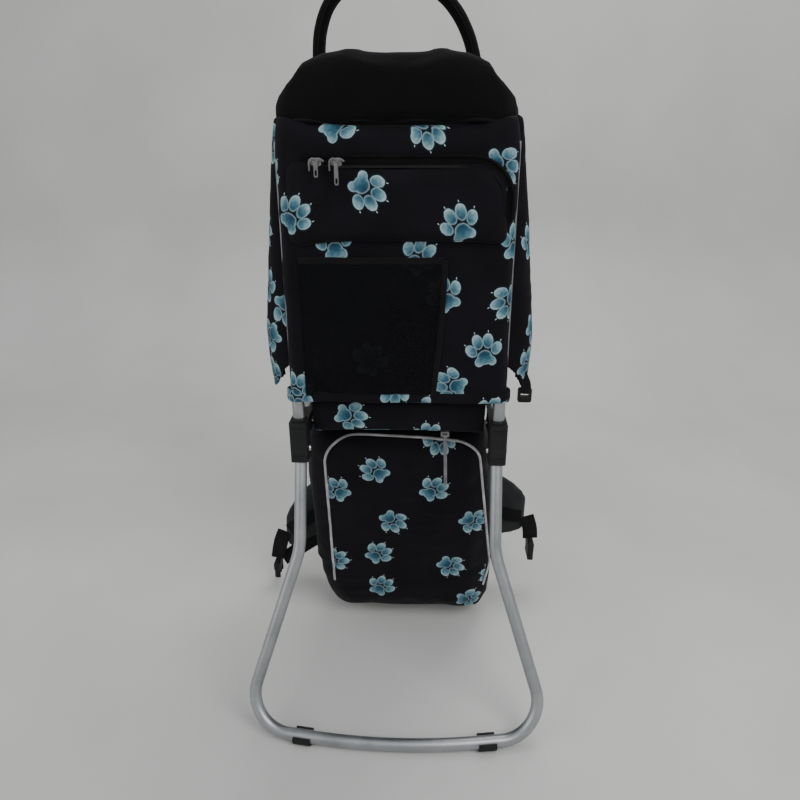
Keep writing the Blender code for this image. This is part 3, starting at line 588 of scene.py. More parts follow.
# ---------------------------------------------------------------- soft goods
def puff(piece, voxel=0.005, cap=0.006, pressure=4.0, wrinkle=0.0, wrinkle_size=0.05):
    """Inflates a closed shape as cloth, limits how far it moves, then refines it."""
    remesh = piece.modifiers.new("remesh", "REMESH")
    remesh.mode = "VOXEL"
    remesh.voxel_size = voxel
    bake(piece)
    start = [v.co.copy() for v in piece.data.vertices]
    inflate(piece, pressure)
    for vertex, origin in zip(piece.data.vertices, start):
        move = vertex.co - origin
        if move.length > cap:
            vertex.co = origin + move.normalized() * cap
    relax = piece.modifiers.new("relax", "SMOOTH")
    relax.factor = 0.5
    relax.iterations = 4
    fine = piece.modifiers.new("fine", "SUBSURF")
    fine.levels = 1
    fine.render_levels = 1
    bake(piece)
    if wrinkle:
        crease(piece, wrinkle, wrinkle_size)
    smooth_shade(piece, 80)
    return piece


def inflate(piece, pressure):
    cloth = piece.modifiers.new("cloth", "CLOTH")
    settings = cloth.settings
    settings.use_pressure = True
    settings.uniform_pressure_force = pressure
    settings.effector_weights.gravity = 0.0
    settings.quality = 4
    settings.tension_stiffness = 25
    settings.compression_stiffness = 12
    settings.bending_stiffness = 0.8
    cloth.collision_settings.use_collision = False
    cloth.collision_settings.use_self_collision = False
    cloth.point_cache.frame_start = 1
    cloth.point_cache.frame_end = 20
    for number in range(1, 21):
        scene.frame_set(number)
    bake(piece)
    scene.frame_set(1)


def crease(piece, depth, size):
    """Shallow folds: smooth noise pushed along the normals, its pattern squeezed upright so that the folds run
    sideways.
    """
    mesh = piece.data
    normals = [v.normal.copy() for v in mesh.vertices]
    for vertex, normal in zip(mesh.vertices, normals):
        where = Vector((vertex.co.x / size, vertex.co.y / size, vertex.co.z / size * 1.7))
        ridge = 1.0 - abs(noise.noise(where)) * 2.2
        soft = noise.noise(where * 0.45 + Vector((7.1, 3.3, 1.9)))
        vertex.co += normal * depth * (0.55 * ridge * abs(soft) * 2.0 + 0.45 * soft - 0.35)


class Surface:
    """Finds points on a piece, so that seams, piping and zips lie on it."""

    def __init__(self, *pieces):
        self.trees = []
        for piece in pieces:
            bm = bmesh.new()
            bm.from_mesh(piece.data)
            self.trees.append(BVHTree.FromBMesh(bm))
            bm.free()

    def from_direction(self, origin, direction, lift):
        """The first surface met from the origin, lifted towards it."""
        best = None
        for tree in self.trees:
            hit, normal, _, distance = tree.ray_cast(Vector(origin), Vector(direction))
            if hit is not None and (best is None or distance < best[2]):
                best = (hit, normal, distance)
        if best is None:
            return None
        return best[0] - Vector(direction).normalized() * lift

    def rear(self, x, z, lift=0.0):
        return self.from_direction((x, -0.6, z), (0, 1, 0), lift)


def on_rear(surface, outline, lift):
    """Places (x, z) points on the surface as seen from behind; points that miss it are dropped."""
    hits = [surface.rear(x, z, lift) for x, z in outline]
    return [hit for hit in hits if hit is not None]


def spaced(points, step, closed=False):
    """The same line with points a step apart."""
    points = [Vector((*p, 0.0)) if len(p) == 2 else Vector(p) for p in points]
    if closed:
        points = points + [points[0]]
    result = [points[0].copy()]
    left = step
    for a, b in zip(points, points[1:]):
        length = (b - a).length
        at = left
        while at <= length:
            result.append(a.lerp(b, at / length))
            at += step
        left = at - length
    return result


def stitches(name, path, material="grey_tape", body="pack", length=0.003, gap=0.0016, radius=0.00032):
    """A row of short threads lying along a path."""
    path = [Vector(p) for p in path]
    dense = spaced(path, length / 3)
    per = 4
    skip = max(1, round(gap / (length / 3)))
    pieces = []
    index = 0
    while index + per <= len(dense):
        run = dense[index:index + per]
        pieces.append(cord_piece("%s_%d" % (name, len(pieces)), run, radius, material, body, False, 5))
        index += per - 1 + skip
    if not pieces:
        return None
    return join(name, pieces, material, body)


# ---------------------------------------------------------------- the print
PAW_SIZE = 0.056


def lattice_paws(u0, u1, v0, v1, seed):
    """Paws on a staggered grid with steady turns, for the sides that have no listed paws."""
    paws = []
    step = 0.088
    rows = int((v1 - v0) / step) + 2
    columns = int((u1 - u0) / step) + 2
    for row in range(rows):
        for column in range(columns):
            key = Vector((column * 1.7 + seed, row * 2.3 - seed, seed * 0.37))
            shift = noise.noise_vector(key) * 0.018
            u = u0 + (column + 0.5 * (row % 2)) * step + shift.x
            v = v0 + row * step + shift.y
            paws.append((u, v, (noise.noise(key * 3.1) * 720) % 360))
    return paws


def print_on(piece, paws, project=None, printed=None):
    """Gives every face its own nearest paw, as coordinates in that paw's frame; plain faces get none."""
    if project is None:
        project = lambda co, normal: (co.x, co.z)
    mesh = piece.data
    layer = mesh.uv_layers.new(name="print")
    frames = [(u, v, cos(radians(toes - 90)), sin(radians(toes - 90))) for u, v, toes in paws]
    for face in mesh.polygons:
        u, v = project(face.center, face.normal)
        pu, pv, c, s = min(frames, key=lambda f: (f[0] - u) ** 2 + (f[1] - v) ** 2)
        plain = printed is not None and not printed(u, v)
        for index in face.loop_indices:
            if plain:
                layer.data[index].uv = (4.0, 4.0)
                continue
            a, b = project(mesh.vertices[mesh.loops[index].vertex_index].co, face.normal)
            du, dv = a - pu, b - pv
            layer.data[index].uv = ((du * c + dv * s) / PAW_SIZE, (-du * s + dv * c) / PAW_SIZE)


# Paw centres in metres from the middle and the floor, and the way the toes point in degrees.
COVER_PAWS = (
    (-0.065, 0.755, 45), (0.035, 0.750, 295), (0.115, 0.710, 335), (-0.155, 0.705, 50), (-0.116, 0.660, 50),
    (0.025, 0.612, 55), (0.056, 0.568, 120), (0.132, 0.560, 215), (0.138, 0.628, 80),
    (0.105, 0.500, 100), (0.066, 0.456, 165), (-0.072, 0.628, 100), (-0.034, 0.487, 75),
    (-0.128, 0.448, 80))
POCKET_PAWS = ((-0.032, 0.686, 315), (-0.116, 0.659, 50), (0.071, 0.650, 115), (0.142, 0.684, 15))
HEM_PAWS = ((-0.005, 0.448, 250), (0.027, 0.420, 75), (0.121, 0.418, 60), (-0.128, 0.440, 250))
WING_PAWS = ((-0.172, 0.572, 80), (-0.166, 0.510, 200), (-0.170, 0.452, 85),
             (0.182, 0.520, 340), (0.172, 0.474, 60), (0.168, 0.625, 100))
BAG_PAWS = (
    (0.055, 0.350, 270), (-0.035, 0.300, 140), (0.048, 0.270, 45), (-0.092, 0.265, 135),
    (-0.012, 0.210, 310), (0.107, 0.211, 325), (-0.035, 0.145, 45), (-0.103, 0.130, 20),
    (0.076, 0.123, 325), (0.147, 0.095, 180), (-0.032, 0.076, 60), (0.108, 0.050, 0))
SEAT_PAWS = ((-0.062, 0.404, 340), (0.040, 0.374, 80), (-0.1, 0.46, 200))


def wrapped(co, front):
    """Print coordinates that run on round a corner: sideways, then forwards past the front."""
    return co.x + (max(0.0, co.y - front) if co.x > 0 else -max(0.0, co.y - front)), co.z


def both_sides(u0, u1, v0, v1, seed):
    """A lattice of paws at u0..u1 and another one at -u1..-u0."""
    return tuple(lattice_paws(u0, u1, v0, v1, seed) + lattice_paws(-u1, -u0, v0, v1, -seed))


# ---------------------------------------------------------------- tubes and plastic
def stand_route():
    """The kickstand's centre line, from the left pivot round to the right one."""
    drop = PIVOT_Z - STAND_Z
    lean = STAND_BACK / drop
    corners = []
    for side in (-1, 1):
        leg = [(side * LEG_X, HINGE_Y + lean * 0.009, PIVOT_Z + 0.009),
               (side * LEG_X, HINGE_Y - lean * STAND_BEND_DROP, PIVOT_Z - STAND_BEND_DROP),
               (side * STAND_HALF_WIDTH, HINGE_Y - STAND_BACK, STAND_Z)]
        corners += leg if side < 0 else leg[::-1]
        if side < 0:
            corners.append((0.0, HINGE_Y - STAND_BACK - STAND_BOW, STAND_Z))
    return rounded_path(corners, (0.11, STAND_CORNER_R, 0.80, STAND_CORNER_R, 0.11), 14)


STAND_Z = TUBE_R + 0.0032
STAND_BACK = 0.135
STAND_BEND_DROP = 0.125
STAND_HALF_WIDTH = 0.203
STAND_BOW = 0.027
STAND_CORNER_R = 0.050


def tube(name, path, radius, material, body, *nodes):
    """A drawn tube with an open, hollow end."""
    wall = 0.0014
    path = [Vector(p) for p in path]
    frames = frames_along(path)
    count = 28
    points = []
    rows = []
    order = [(i, radius) for i in range(len(frames))] + [(i, radius - wall) for i in reversed(range(len(frames)))]
    for index, size in order:
        point, first, second = frames[index]
        rows.append(len(points))
        points += [point + first * u + second * v for u, v in circle(size, count)]
    faces = []
    for a, b in zip(rows, rows[1:] + rows[:1]):
        for i in range(count):
            j = (i + 1) % count
            faces.append((a + i, a + j, b + j, b + i))
    piece = make(name, points, faces, material, body)
    if nodes:
        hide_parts(*nodes)
    return piece


def build_tubes():
    tube("stand_tube", stand_route(), TUBE_R, "aluminium", "stand", "kickstand")
    for side, name in ((-1, "left"), (1, "right")):
        x = side * LEG_X
        upright = "rear_upright_" + name
        tube("upright_tube_" + name, [(x, HINGE_Y, low(upright).z), (x, HINGE_Y, high(upright).z)],
             TUBE_R, "aluminium", "pack", upright)
        rail = "seat_rail_" + name
        z = middle(rail).z
        tube("rail_tube_" + name, [(x, low(rail).y, z), (x, high(rail).y, z)],
             TUBE_R, "aluminium", "pack", rail)
    bend = 0.075
    corners = [(-FRAME_X, FRAME_Y, low("main_frame").z), (-FRAME_X, FRAME_Y, FRAME_TOP),
               (FRAME_X, FRAME_Y, FRAME_TOP), (FRAME_X, FRAME_Y, low("main_frame").z)]
    tube("frame_tube", rounded_path(corners, (bend, bend), 16), FRAME_R, "aluminium", "pack", "main_frame")


def build_hinge_trim():
    """Raised ribs on the hinge housings, and a collar round each upright at the top of its housing."""
    for side, name in ((-1, "left"), (1, "right")):
        housing = "hinge_housing_" + name
        a, b = low(housing), high(housing)
        rear = a.y
        for index, share in enumerate((0.14, 0.86)):
            z = a.z + (b.z - a.z) * share
            rib = slab("housing_rib_%s_%d" % (name, index),
                       rounded_rect(a.x + 0.0012, b.x - 0.0012, z - 0.0011, z + 0.0011, 0.001, 3),
                       "Y", rear - 0.0009, rear + 0.0006, "black_plastic")
            rounded(rib, 0.0004, 2)
        collar = turned("upright_collar_" + name,
                        [(TUBE_R + 0.0002, b.z - 0.001), (TUBE_R + 0.0024, b.z - 0.001),
                         (TUBE_R + 0.0022, b.z + 0.0022), (TUBE_R + 0.0012, b.z + 0.0034),
                         (TUBE_R + 0.0002, b.z + 0.0034), (TUBE_R + 0.0002, b.z - 0.001)],
                        (side * LEG_X, HINGE_Y), "Z", "black_plastic")
        smooth_shade(collar, 40)


def paint_nodes():
    """The CAD solids that keep their own shape get the detailed materials."""
    keep = {
        "aluminium": ("lower_crossbar",),
        "rubber": ("frame_foot_left", "frame_foot_right", "stand_foot_left", "stand_foot_right"),
        "black_plastic": ("rail_clamp_left", "rail_clamp_right", "hinge_housing_left",
                          "hinge_housing_right"),
        "steel": ("hinge_pin_left", "hinge_pin_right", "rail_screw_left", "rail_screw_right"),
    }
    for material, nodes in keep.items():
        for node in nodes:
            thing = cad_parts[node]
            thing.data.materials.clear()
            thing.data.materials.append(MATS[material])


# ---------------------------------------------------------------- rear panel and pockets
def rear_outline(grow):
    """Plan of the rear cover: round both pole sleeves and across between them."""
    ends = SLEEVE_R + grow
    return (arc((LEG_X, HINGE_Y), ends, -88, 88, 12)
            + [(x, HINGE_Y + ends * 0.62) for x in (0.09, 0.03, -0.03, -0.09)]
            + arc((-LEG_X, HINGE_Y), ends, 92, 268, 12)
            + [(x, HINGE_Y - ends * 0.92) for x in (-0.09, -0.03, 0.03, 0.09)])


def build_rear():
    """One padded cover over the rear panel and both pole sleeves, and its bound lower hem."""
    levels = [PANEL_BOTTOM + 0.002 + (PANEL_TOP - PANEL_BOTTOM - 0.002) * i / 24 for i in range(25)]
    rings = [[(u, v, z) for u, v in rear_outline(0.0004)] for z in levels]
    cover = loft("rear_cover", rings, "printed_fabric")
    puff(cover, 0.0045, 0.0035, 3.0, 0.0016, 0.055)
    rise_start = PANEL_TOP - 0.040
    for vertex in cover.data.vertices:
        co = vertex.co
        if co.z > rise_start:
            share = (co.z - rise_start) / 0.040
            co.z += 0.009 * share * min(1.0, abs(co.x) / 0.135) ** 2.5
            co.x *= 1.0 - 0.050 * share ** 2
    wrap_y = HINGE_Y - SLEEVE_R
    print_on(cover, COVER_PAWS, lambda co, normal: wrapped(co, wrap_y))
    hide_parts("rear_panel", "pole_sleeve_left", "pole_sleeve_right")
    rings = []
    for z, grow in ((PANEL_BOTTOM, 0.0002), (PANEL_BOTTOM + 0.0012, 0.0014), (PANEL_BOTTOM + 0.006, 0.0020),
                    (PANEL_BOTTOM + 0.013, 0.0019), (PANEL_BOTTOM + 0.0155, 0.0012), (PANEL_BOTTOM + 0.016, 0.0)):
        rings.append([(u, v, z + 0.0008 * sin(u * 60)) for u, v in rear_outline(grow)])
    hem = loft("rear_hem", rings, "printed_fabric")
    smooth_shade(hem, 60)
    print_on(hem, HEM_PAWS, lambda co, normal: wrapped(co, wrap_y - 0.002))
    return cover


def build_upper_pocket():
    """Padded pocket whose zipped top edge turns down in a wide curve on the right."""
    a, b = low("upper_pocket"), high("upper_pocket")
    right, top, bend = b.x + 0.016, b.z - 0.010, 0.042
    outline = (arc((right - bend, top - bend), bend, 0, 90, 12)
               + arc((a.x + 0.004, top - 0.016), 0.016, 90, 180, 6)
               + arc((a.x + 0.004, a.z + 0.016), 0.016, 180, 270, 6)
               + arc((right - 0.014, a.z + 0.014), 0.012, 270, 360, 6))
    pocket = slab("pocket_shell", outline, "Y", a.y + 0.0065, b.y + 0.006, "printed_fabric")
    puff(pocket, 0.0045, 0.006, 4.0, 0.0018, 0.06)
    print_on(pocket, POCKET_PAWS)
    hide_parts("upper_pocket")
    return pocket


def build_mesh_pocket(cover):
    """A sagging net front with an elastic hem across its top and a binding down its right side."""
    a, b = low("mesh_pocket"), high("mesh_pocket")
    columns, rows = 48, 40
    surface = Surface(cover)
    thick = 0.0009
    front = []
    for row in range(rows + 1):
        t = row / rows
        z = a.z - 0.004 + (b.z - a.z - 0.006) * t
        for column in range(columns + 1):
            s = column / columns
            right = b.x + 0.011 - 0.012 * (1 - t) ** 1.6
            x = a.x + (right - a.x) * s
            base = surface.rear(x, z, 0.0008)
            rim = min(1.0, 7 * s, 7 * (1 - s), 7 * t)
            belly = sin(pi * min(1.0, s * 1.0)) ** 0.5 * (0.35 + 0.65 * (1 - t) * t * 4)
            fold = 0.0016 * noise.noise(Vector((x * 24, 0.0, z * 9))) + 0.0012 * sin(x * 95) * t
            out = 0.0075 * rim * belly + fold * rim
            front.append(Vector((x, (base.y if base else a.y) - max(0.0004, out), z)))
    back = [p + Vector((0, thick, 0)) for p in front]
    width = columns + 1
    faces = []
    for row in range(rows):
        for column in range(columns):
            i = row * width + column
            faces.append((i, i + 1, i + width + 1, i + width))
            j = i + len(front)
            faces.append((j, j + width, j + width + 1, j + 1))
    edge = list(range(width)) + [r * width + columns for r in range(1, rows + 1)]
    edge += [rows * width + c for c in range(columns - 1, -1, -1)]
    edge += [r * width for r in range(rows - 1, 0, -1)]
    total = len(front)
    for i, j in zip(edge, edge[1:] + edge[:1]):
        faces.append((j, i, i + total, j + total))
    net = make("net_pocket", front + back, faces, "mesh_fabric")
    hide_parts("mesh_pocket")
    top = [front[rows * width + c] + Vector((0, 0.0004, 0.0)) for c in range(width)]
    strap("net_hem", top, 0.008, 0.0018, "binding", "pack", (0, 0, 1))
    right_edge = [front[r * width + columns] for r in range(rows + 1)]
    strap("net_edge", right_edge, 0.0065, 0.0018, "binding", "pack", (1, 0, 0))
    return net


def zip_teeth(name, path, body="pack", pitch=0.0021, width=0.0042, height=0.0011):
    """Interlocked coil teeth along a path that lies on the rear."""
    dense = spaced(path, pitch)
    pieces = []
    points = []
    faces = []
    for i, (point, first, second) in enumerate(frames_along(dense, (0, 1, 0))):
        tangent = first.cross(second)
        half = width / 2
        offset = 0.0004 * (1 if i % 2 else -1)
        base = len(points)
        for along, out, across in ((-1, -1, -1), (1, -1, -1), (1, -1, 1), (-1, -1, 1),
                                   (-0.6, 1, -0.8), (0.6, 1, -0.8), (0.6, 1, 0.8), (-0.6, 1, 0.8)):
            points.append(point + tangent * (along * pitch * 0.34) - first * (out * height / 2)
                          + second * (across * half + offset))
        for quad in ((0, 1, 2, 3), (4, 7, 6, 5), (0, 4, 5, 1), (1, 5, 6, 2), (2, 6, 7, 3), (3, 7, 4, 0)):
            faces.append(tuple(base + q for q in quad))
    return make(name, points, faces, "zip_tape", body, None, False)


def slider(name, at, tangent, body, node, pull_body, pull_node, pull_length, tape):
    """A cast slider with a bridge, and its pull: a metal tab or a long tape loop."""
    x, y, z = at
    halves = []
    for shift in (0.0, 0.0026):
        outline = [(x - 0.0058, z - 0.0030), (x - 0.0020, z - 0.0040), (x + 0.0030, z - 0.0044),
                   (x + 0.0058, z - 0.0034), (x + 0.0058, z + 0.0034), (x + 0.0030, z + 0.0044),
                   (x - 0.0020, z + 0.0040), (x - 0.0058, z + 0.0030)]
        plate = slab("%s_plate_%d" % (name, int(shift * 1e4)), outline, "Y", y - shift - 0.0009,
                     y - shift, "zip_metal", body)
        halves.append(rounded(plate, 0.0003, 2))
    bridge = smooth_path([(x - 0.0042, y - 0.0034, z), (x - 0.0026, y - 0.0052, z),
                          (x + 0.0016, y - 0.0052, z), (x + 0.0034, y - 0.0034, z)], 5)
    halves.append(sweep(name + "_bridge", bridge, rounded_rect(-0.0011, 0.0011, -0.0005, 0.0005, 0.0003, 2),
                        "zip_metal", body, (0, 0, 1)))
    whole = join(name, halves, "zip_metal", body)
    smooth_shade(whole, 40)
    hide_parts(node)
    pull(name.replace("slider", "pull"), (x, y - 0.0050, z), pull_body, pull_node, pull_length, tape)
    return whole


def pull(name, top, body, node, length, tape):
    """A flat metal tab with a slot; with tape, a short tab that carries a folded loop of tape."""
    x, y, z = top
    metal = min(length, 0.030) if not tape else 0.012
    outer = rounded_rect(x - 0.0024, x + 0.0024, z - metal, z + 0.0012, 0.0020, 5)
    hole = rounded_rect(x - 0.0011, x + 0.0011, z - metal + 0.0018, z - metal + 0.0075, 0.0009, 5)
    plate = holed_plate(name, outer, hole, y, 0.0012, "zip_metal", body)
    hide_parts(node)
    if tape:
        low_z = z - length
        path = smooth_path([(x, y - 0.0012, z - metal + 0.0040), (x + 0.0004, y - 0.0018, z - metal - 0.006),
                            (x + 0.0012, y - 0.0010, (z + low_z) / 2), (x + 0.0022, y - 0.0004, low_z)], 8)
        strap(name + "_tape", path, 0.0046, 0.0016, "grey_tape", body, (1, 0, 0))
    return plate


def holed_plate(name, outer, hole, y, thick, material, body):
    """A plate across Y whose outline and hole have the same number of points."""
    count = len(outer)
    points = []
    for ring, depth in ((outer, y - thick / 2), (hole, y - thick / 2), (hole, y + thick / 2), (outer, y + thick / 2)):
        points += [(u, depth, v) for u, v in ring]
    faces = []
    for ring in range(4):
        a, b = ring * count, ((ring + 1) % 4) * count
        for i in range(count):
            j = (i + 1) % count
            faces.append((a + i, a + j, b + j, b + i))
    plate = make(name, points, faces, material, body)
    return rounded(plate, 0.0002, 1)


def build_pocket_zip(pocket, cover):
    a, b = low("pocket_zip"), high("pocket_zip")
    surface = Surface(pocket, cover)
    line = b.z - 0.0045
    corner = 0.040
    right = b.x + 0.013
    route = ([(a.x + 0.004, line)] + arc((right - corner, line - corner), corner, 90, 0, 12)
             + [(right, a.z + 0.002)])
    flat = [(p.x, p.y) for p in spaced(route, 0.003)]
    path = on_rear(surface, flat, 0.0008)
    track = sweep("pocket_zip_tape", path, strap_profile(0.0015, 0.013), "zip_tape", "pack", (0, 1, 0))
    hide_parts("pocket_zip")
    zip_teeth("pocket_zip_teeth", [p + Vector((0, -0.0010, 0)) for p in path])
    for side in (-1, 1):
        shifted = on_rear(surface, [(u, v + side * 0.0078) for u, v in flat[:56]], 0.0004)
        stitches("pocket_zip_stitch_%d" % (side + 1), shifted, "binding")
    for number, name in ((1, "left"), (2, "right")):
        node = "pocket_slider_" + name
        length = 0.016 if number == 1 else 0.024
        centre = middle(node)
        at = surface.rear(centre.x, line, 0.0024)
        slider("zip_slider_%d" % number, (centre.x, min(at.y, high(node).y), line), None,
               "pocket_slider_%d" % number, node, "pocket_pull_%d" % number, "pocket_pull_" + name,
               length, False)
        top = (centre.x, min(at.y, high(node).y) - 0.0056, line)
        curl = smooth_path([(top[0] - 0.007, top[1], line - 0.009), (top[0] - 0.0065, top[1] - 0.001, line + 0.001),
                            (top[0] - 0.002, top[1] - 0.001, line + 0.0035), (top[0] + 0.002, top[1], line + 0.0005),
                            (top[0] + 0.005, top[1] - 0.001, line + 0.003), (top[0] + 0.009, top[1], line + 0.0005)], 5)
        cord_piece("pull_cord_%d" % number, curl, 0.0010, "grey_cord", "pocket_slider_%d" % number, False, 8)


# ---------------------------------------------------------------- collar and sides
def build_collar():
    """Padded rim: high behind the head, low along the sides, with a wavy crown and a sewn hem."""
    a, b = low("headrest_collar"), high("headrest_collar")
    thick = 0.026
    rear_y = a.y + thick / 2 + 0.002
    side_x = LEG_X - 0.0005
    bottom = a.z - 0.007
    stations = []
    for x, top, wide in ((0.0, 0.002, 1.0), (0.025, 0.002, 1.0), (0.050, 0.0045, 1.0),
                         (0.078, -0.001, 0.98), (0.100, -0.010, 0.94)):
        stations.append((x, rear_y, b.z + top, thick / 2 * wide, (0.0, -1.0)))
    corner = 0.025
    for turn in (25, 55, 85):
        angle = radians(turn)
        stations.append((side_x - corner + corner * sin(angle), rear_y + corner - corner * cos(angle),
                         b.z - 0.018 - 0.00038 * turn, thick / 2 * (1 - 0.0045 * turn),
                         (sin(angle), -cos(angle))))
    for y in (rear_y + 0.055, rear_y + 0.095, b.y - 0.003):
        stations.append((side_x, y, a.z + 0.021, 0.0085, (1.0, 0.0)))

    def section(x, y, top, half, out):
        ring = []
        for i in range(24):
            u, v = cos(2 * pi * i / 24), sin(2 * pi * i / 24)
            reach = half * abs(u) ** 0.7 * (1 if u > 0 else -1)
            high_part = (bottom + top) / 2 + (top - bottom) / 2 * abs(v) ** 0.85 * (1 if v > 0 else -1)
            ring.append((x + out[0] * reach, y + out[1] * reach, high_part))
        return ring

    right = [section(*s) for s in stations[1:]]
    left = [section(-s[0] * 1.02, s[1], s[2], s[3], (-s[4][0], s[4][1])) for s in stations[1:]]
    collar = loft("collar_pad", left[::-1] + [section(*stations[0])] + right, "black_fabric")
    puff(collar, 0.005, 0.004, 4.0, 0.0026, 0.05)
    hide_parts("headrest_collar")
    surface = Surface(collar)
    hem = on_rear(surface, [(-0.118 + 0.004 * i, bottom + 0.007 + 0.0012 * sin(i * 0.4)) for i in range(60)], 0.0005)
    cord_piece("collar_hem_cord", hem, 0.0013, "binding")
    return collar


def side_rows(node):
    """Plan lines of a side wall, from the top down: the run from the pole sleeve forwards."""
    a, b = low(node), high(node)
    hidden = LEG_X + 0.0045
    flare_full = max(abs(a.x), abs(b.x)) - 0.0035 - hidden
    top = b.z + 0.010
    rows = []
    count = 34
    for i in range(count + 1):
        t = i / count
        z = top - (top - a.z + 0.004) * t
        flare = flare_full * min(1.0, (top - z) / 0.25) ** 0.80
        start = Vector((LEG_X - 0.001, HINGE_Y + 0.007))
        reach = b.y
        if t > 0.66:
            reach = b.y + (a.y + 0.012 - b.y) * min(1.0, (t - 0.66) / 0.27) ** 0.8
        if t > 0.88:
            start = start.lerp(Vector((hidden + flare, a.y)), ((t - 0.88) / 0.12) ** 0.8)
        x = hidden + flare
        line = [start, Vector((max(start.x, x - flare * 0.25), start.y + 0.006)),
                Vector((x, start.y + 0.026)), Vector((x, max(start.y + 0.030, reach * 0.5))),
                Vector((x - flare * 0.3, max(start.y + 0.034, reach)))]
        rows.append((z, [Vector((p.x, p.y, 0.0)) for p in line]))
    return rows


def build_side_panels():
    """Seat sides that leave the pole sleeves and flare outwards, bound along their free edges."""
    for side, name in ((-1, "left"), (1, "right")):
        node = "side_panel_" + name
        rings = []
        front_edge = []
        for z, line in side_rows(node):
            curve = smooth_path(line, 5)
            ahead = [(b - a).normalized() for a, b in zip(curve, curve[1:] + [curve[-1] * 2 - curve[-2]])]
            out = [p + Vector((d.y, -d.x, 0.0)) * 0.0026 for p, d in zip(curve, ahead)]
            inner = [p - Vector((d.y, -d.x, 0.0)) * 0.0026 for p, d in zip(curve, ahead)]
            rings.append([(side * p.x, p.y, z) for p in out + inner[::-1]])
            front_edge.append(Vector((side * curve[-1].x, curve[-1].y, z)))
        panel = loft("side_wall_" + name, rings, "printed_fabric")
        puff(panel, 0.004, 0.0025, 3.0, 0.0014, 0.04)

        walls = both_sides(0.240, 0.36, PANEL_BOTTOM + 0.03, PANEL_TOP, 3.7)
        print_on(panel, WING_PAWS + walls, lambda co, normal: wrapped(co, HINGE_Y + 0.008))
        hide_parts(node)
        edge = front_edge[3:]
        cord_piece("side_binding_" + name, smooth_path(edge[::2], 2), 0.0021, "binding", "pack", False, 8)


def build_side_buckle():
    """Webbing tail from the right wall's tip with a ladder lock."""
    a, b = low("side_buckle"), high("side_buckle")
    c = (a + b) / 2
    outer = rounded_rect(a.x, b.x, a.z + 0.002, b.z - 0.002, 0.003, 4)
    hole = rounded_rect(a.x + 0.0035, b.x - 0.0035, c.z - 0.001, c.z + 0.004, 0.0012, 4)
    lock = holed_plate("ladder_lock", outer, hole, c.y, 0.0045, "black_plastic", "pack")
    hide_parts("side_buckle")
    bar = sweep("ladder_lock_bar", [Vector((a.x + 0.002, c.y - 0.001, c.z - 0.0045)),
                                    Vector((b.x - 0.002, c.y - 0.001, c.z - 0.0045))],
                rounded_rect(-0.002, 0.002, -0.0022, 0.0022, 0.001, 3), "black_plastic", "pack", (0, 1, 0))
    path = smooth_path([(c.x - 0.016, c.y - 0.002, b.z + 0.056), (c.x - 0.010, c.y - 0.0050, b.z + 0.028),
                        (c.x, c.y - 0.0036, b.z + 0.004), (c.x, c.y - 0.0012, c.z + 0.002)], 6)
    strap("side_tail", path, 0.013, 0.0016, "webbing")
    return bar


# ---------------------------------------------------------------- lower bag
def bag_front_y(z):
    share = (BAG_HIGH.z - z) / (BAG_HIGH.z - BAG_LOW.z)
    return BAG_LOW.y + (0.050 * share)


PIPING = ((-0.106, 0.086), (-0.107, 0.358), (0.109, 0.350), (0.139, 0.115), (0.130, 0.074))


def inside_piping(x, z):
    """Only the panel inside the piping is printed; the rest of the bag is plain."""
    right = 0.109 + (0.139 - 0.109) * (0.350 - z) / (0.350 - 0.115)
    return -0.1055 < x < min(right, 0.139) and z < 0.353


def build_bag():
    """Bag whose rear face leans back; it hangs a little to the right and narrows below left."""
    rows = ((-0.038, 0.104, 0.130, 0.006), (-0.012, 0.116, 0.138, 0.003), (0.040, 0.125, 0.144, 0.001),
            (0.130, 0.132, 0.147, 0.000), (0.260, 0.138, 0.147, 0.000), (0.490, 0.142, 0.144, 0.000),
            (0.720, 0.141, 0.136, 0.000), (0.870, 0.138, 0.130, 0.001), (0.940, 0.134, 0.126, 0.002),
            (0.980, 0.128, 0.120, 0.005), (1.000, 0.121, 0.112, 0.014))
    rings = []
    for share, left, right, tuck in rows:
        z = BAG_LOW.z + (BAG_HIGH.z - BAG_LOW.z) * share
        outline = rounded_rect(-left, right, bag_front_y(z) + tuck + 0.003, BAG_HIGH.y - tuck - 0.003, 0.024, 6)
        rings.append([(u, v, z) for u, v in outline])
    bag = loft("bag_shell", rings, "printed_fabric")
    puff(bag, 0.0055, 0.006, 4.0, 0.0030, 0.055)
    print_on(bag, BAG_PAWS, lambda co, normal: wrapped(co, bag_front_y(co.z) + 0.006), inside_piping)
    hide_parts("lower_bag")
    return bag


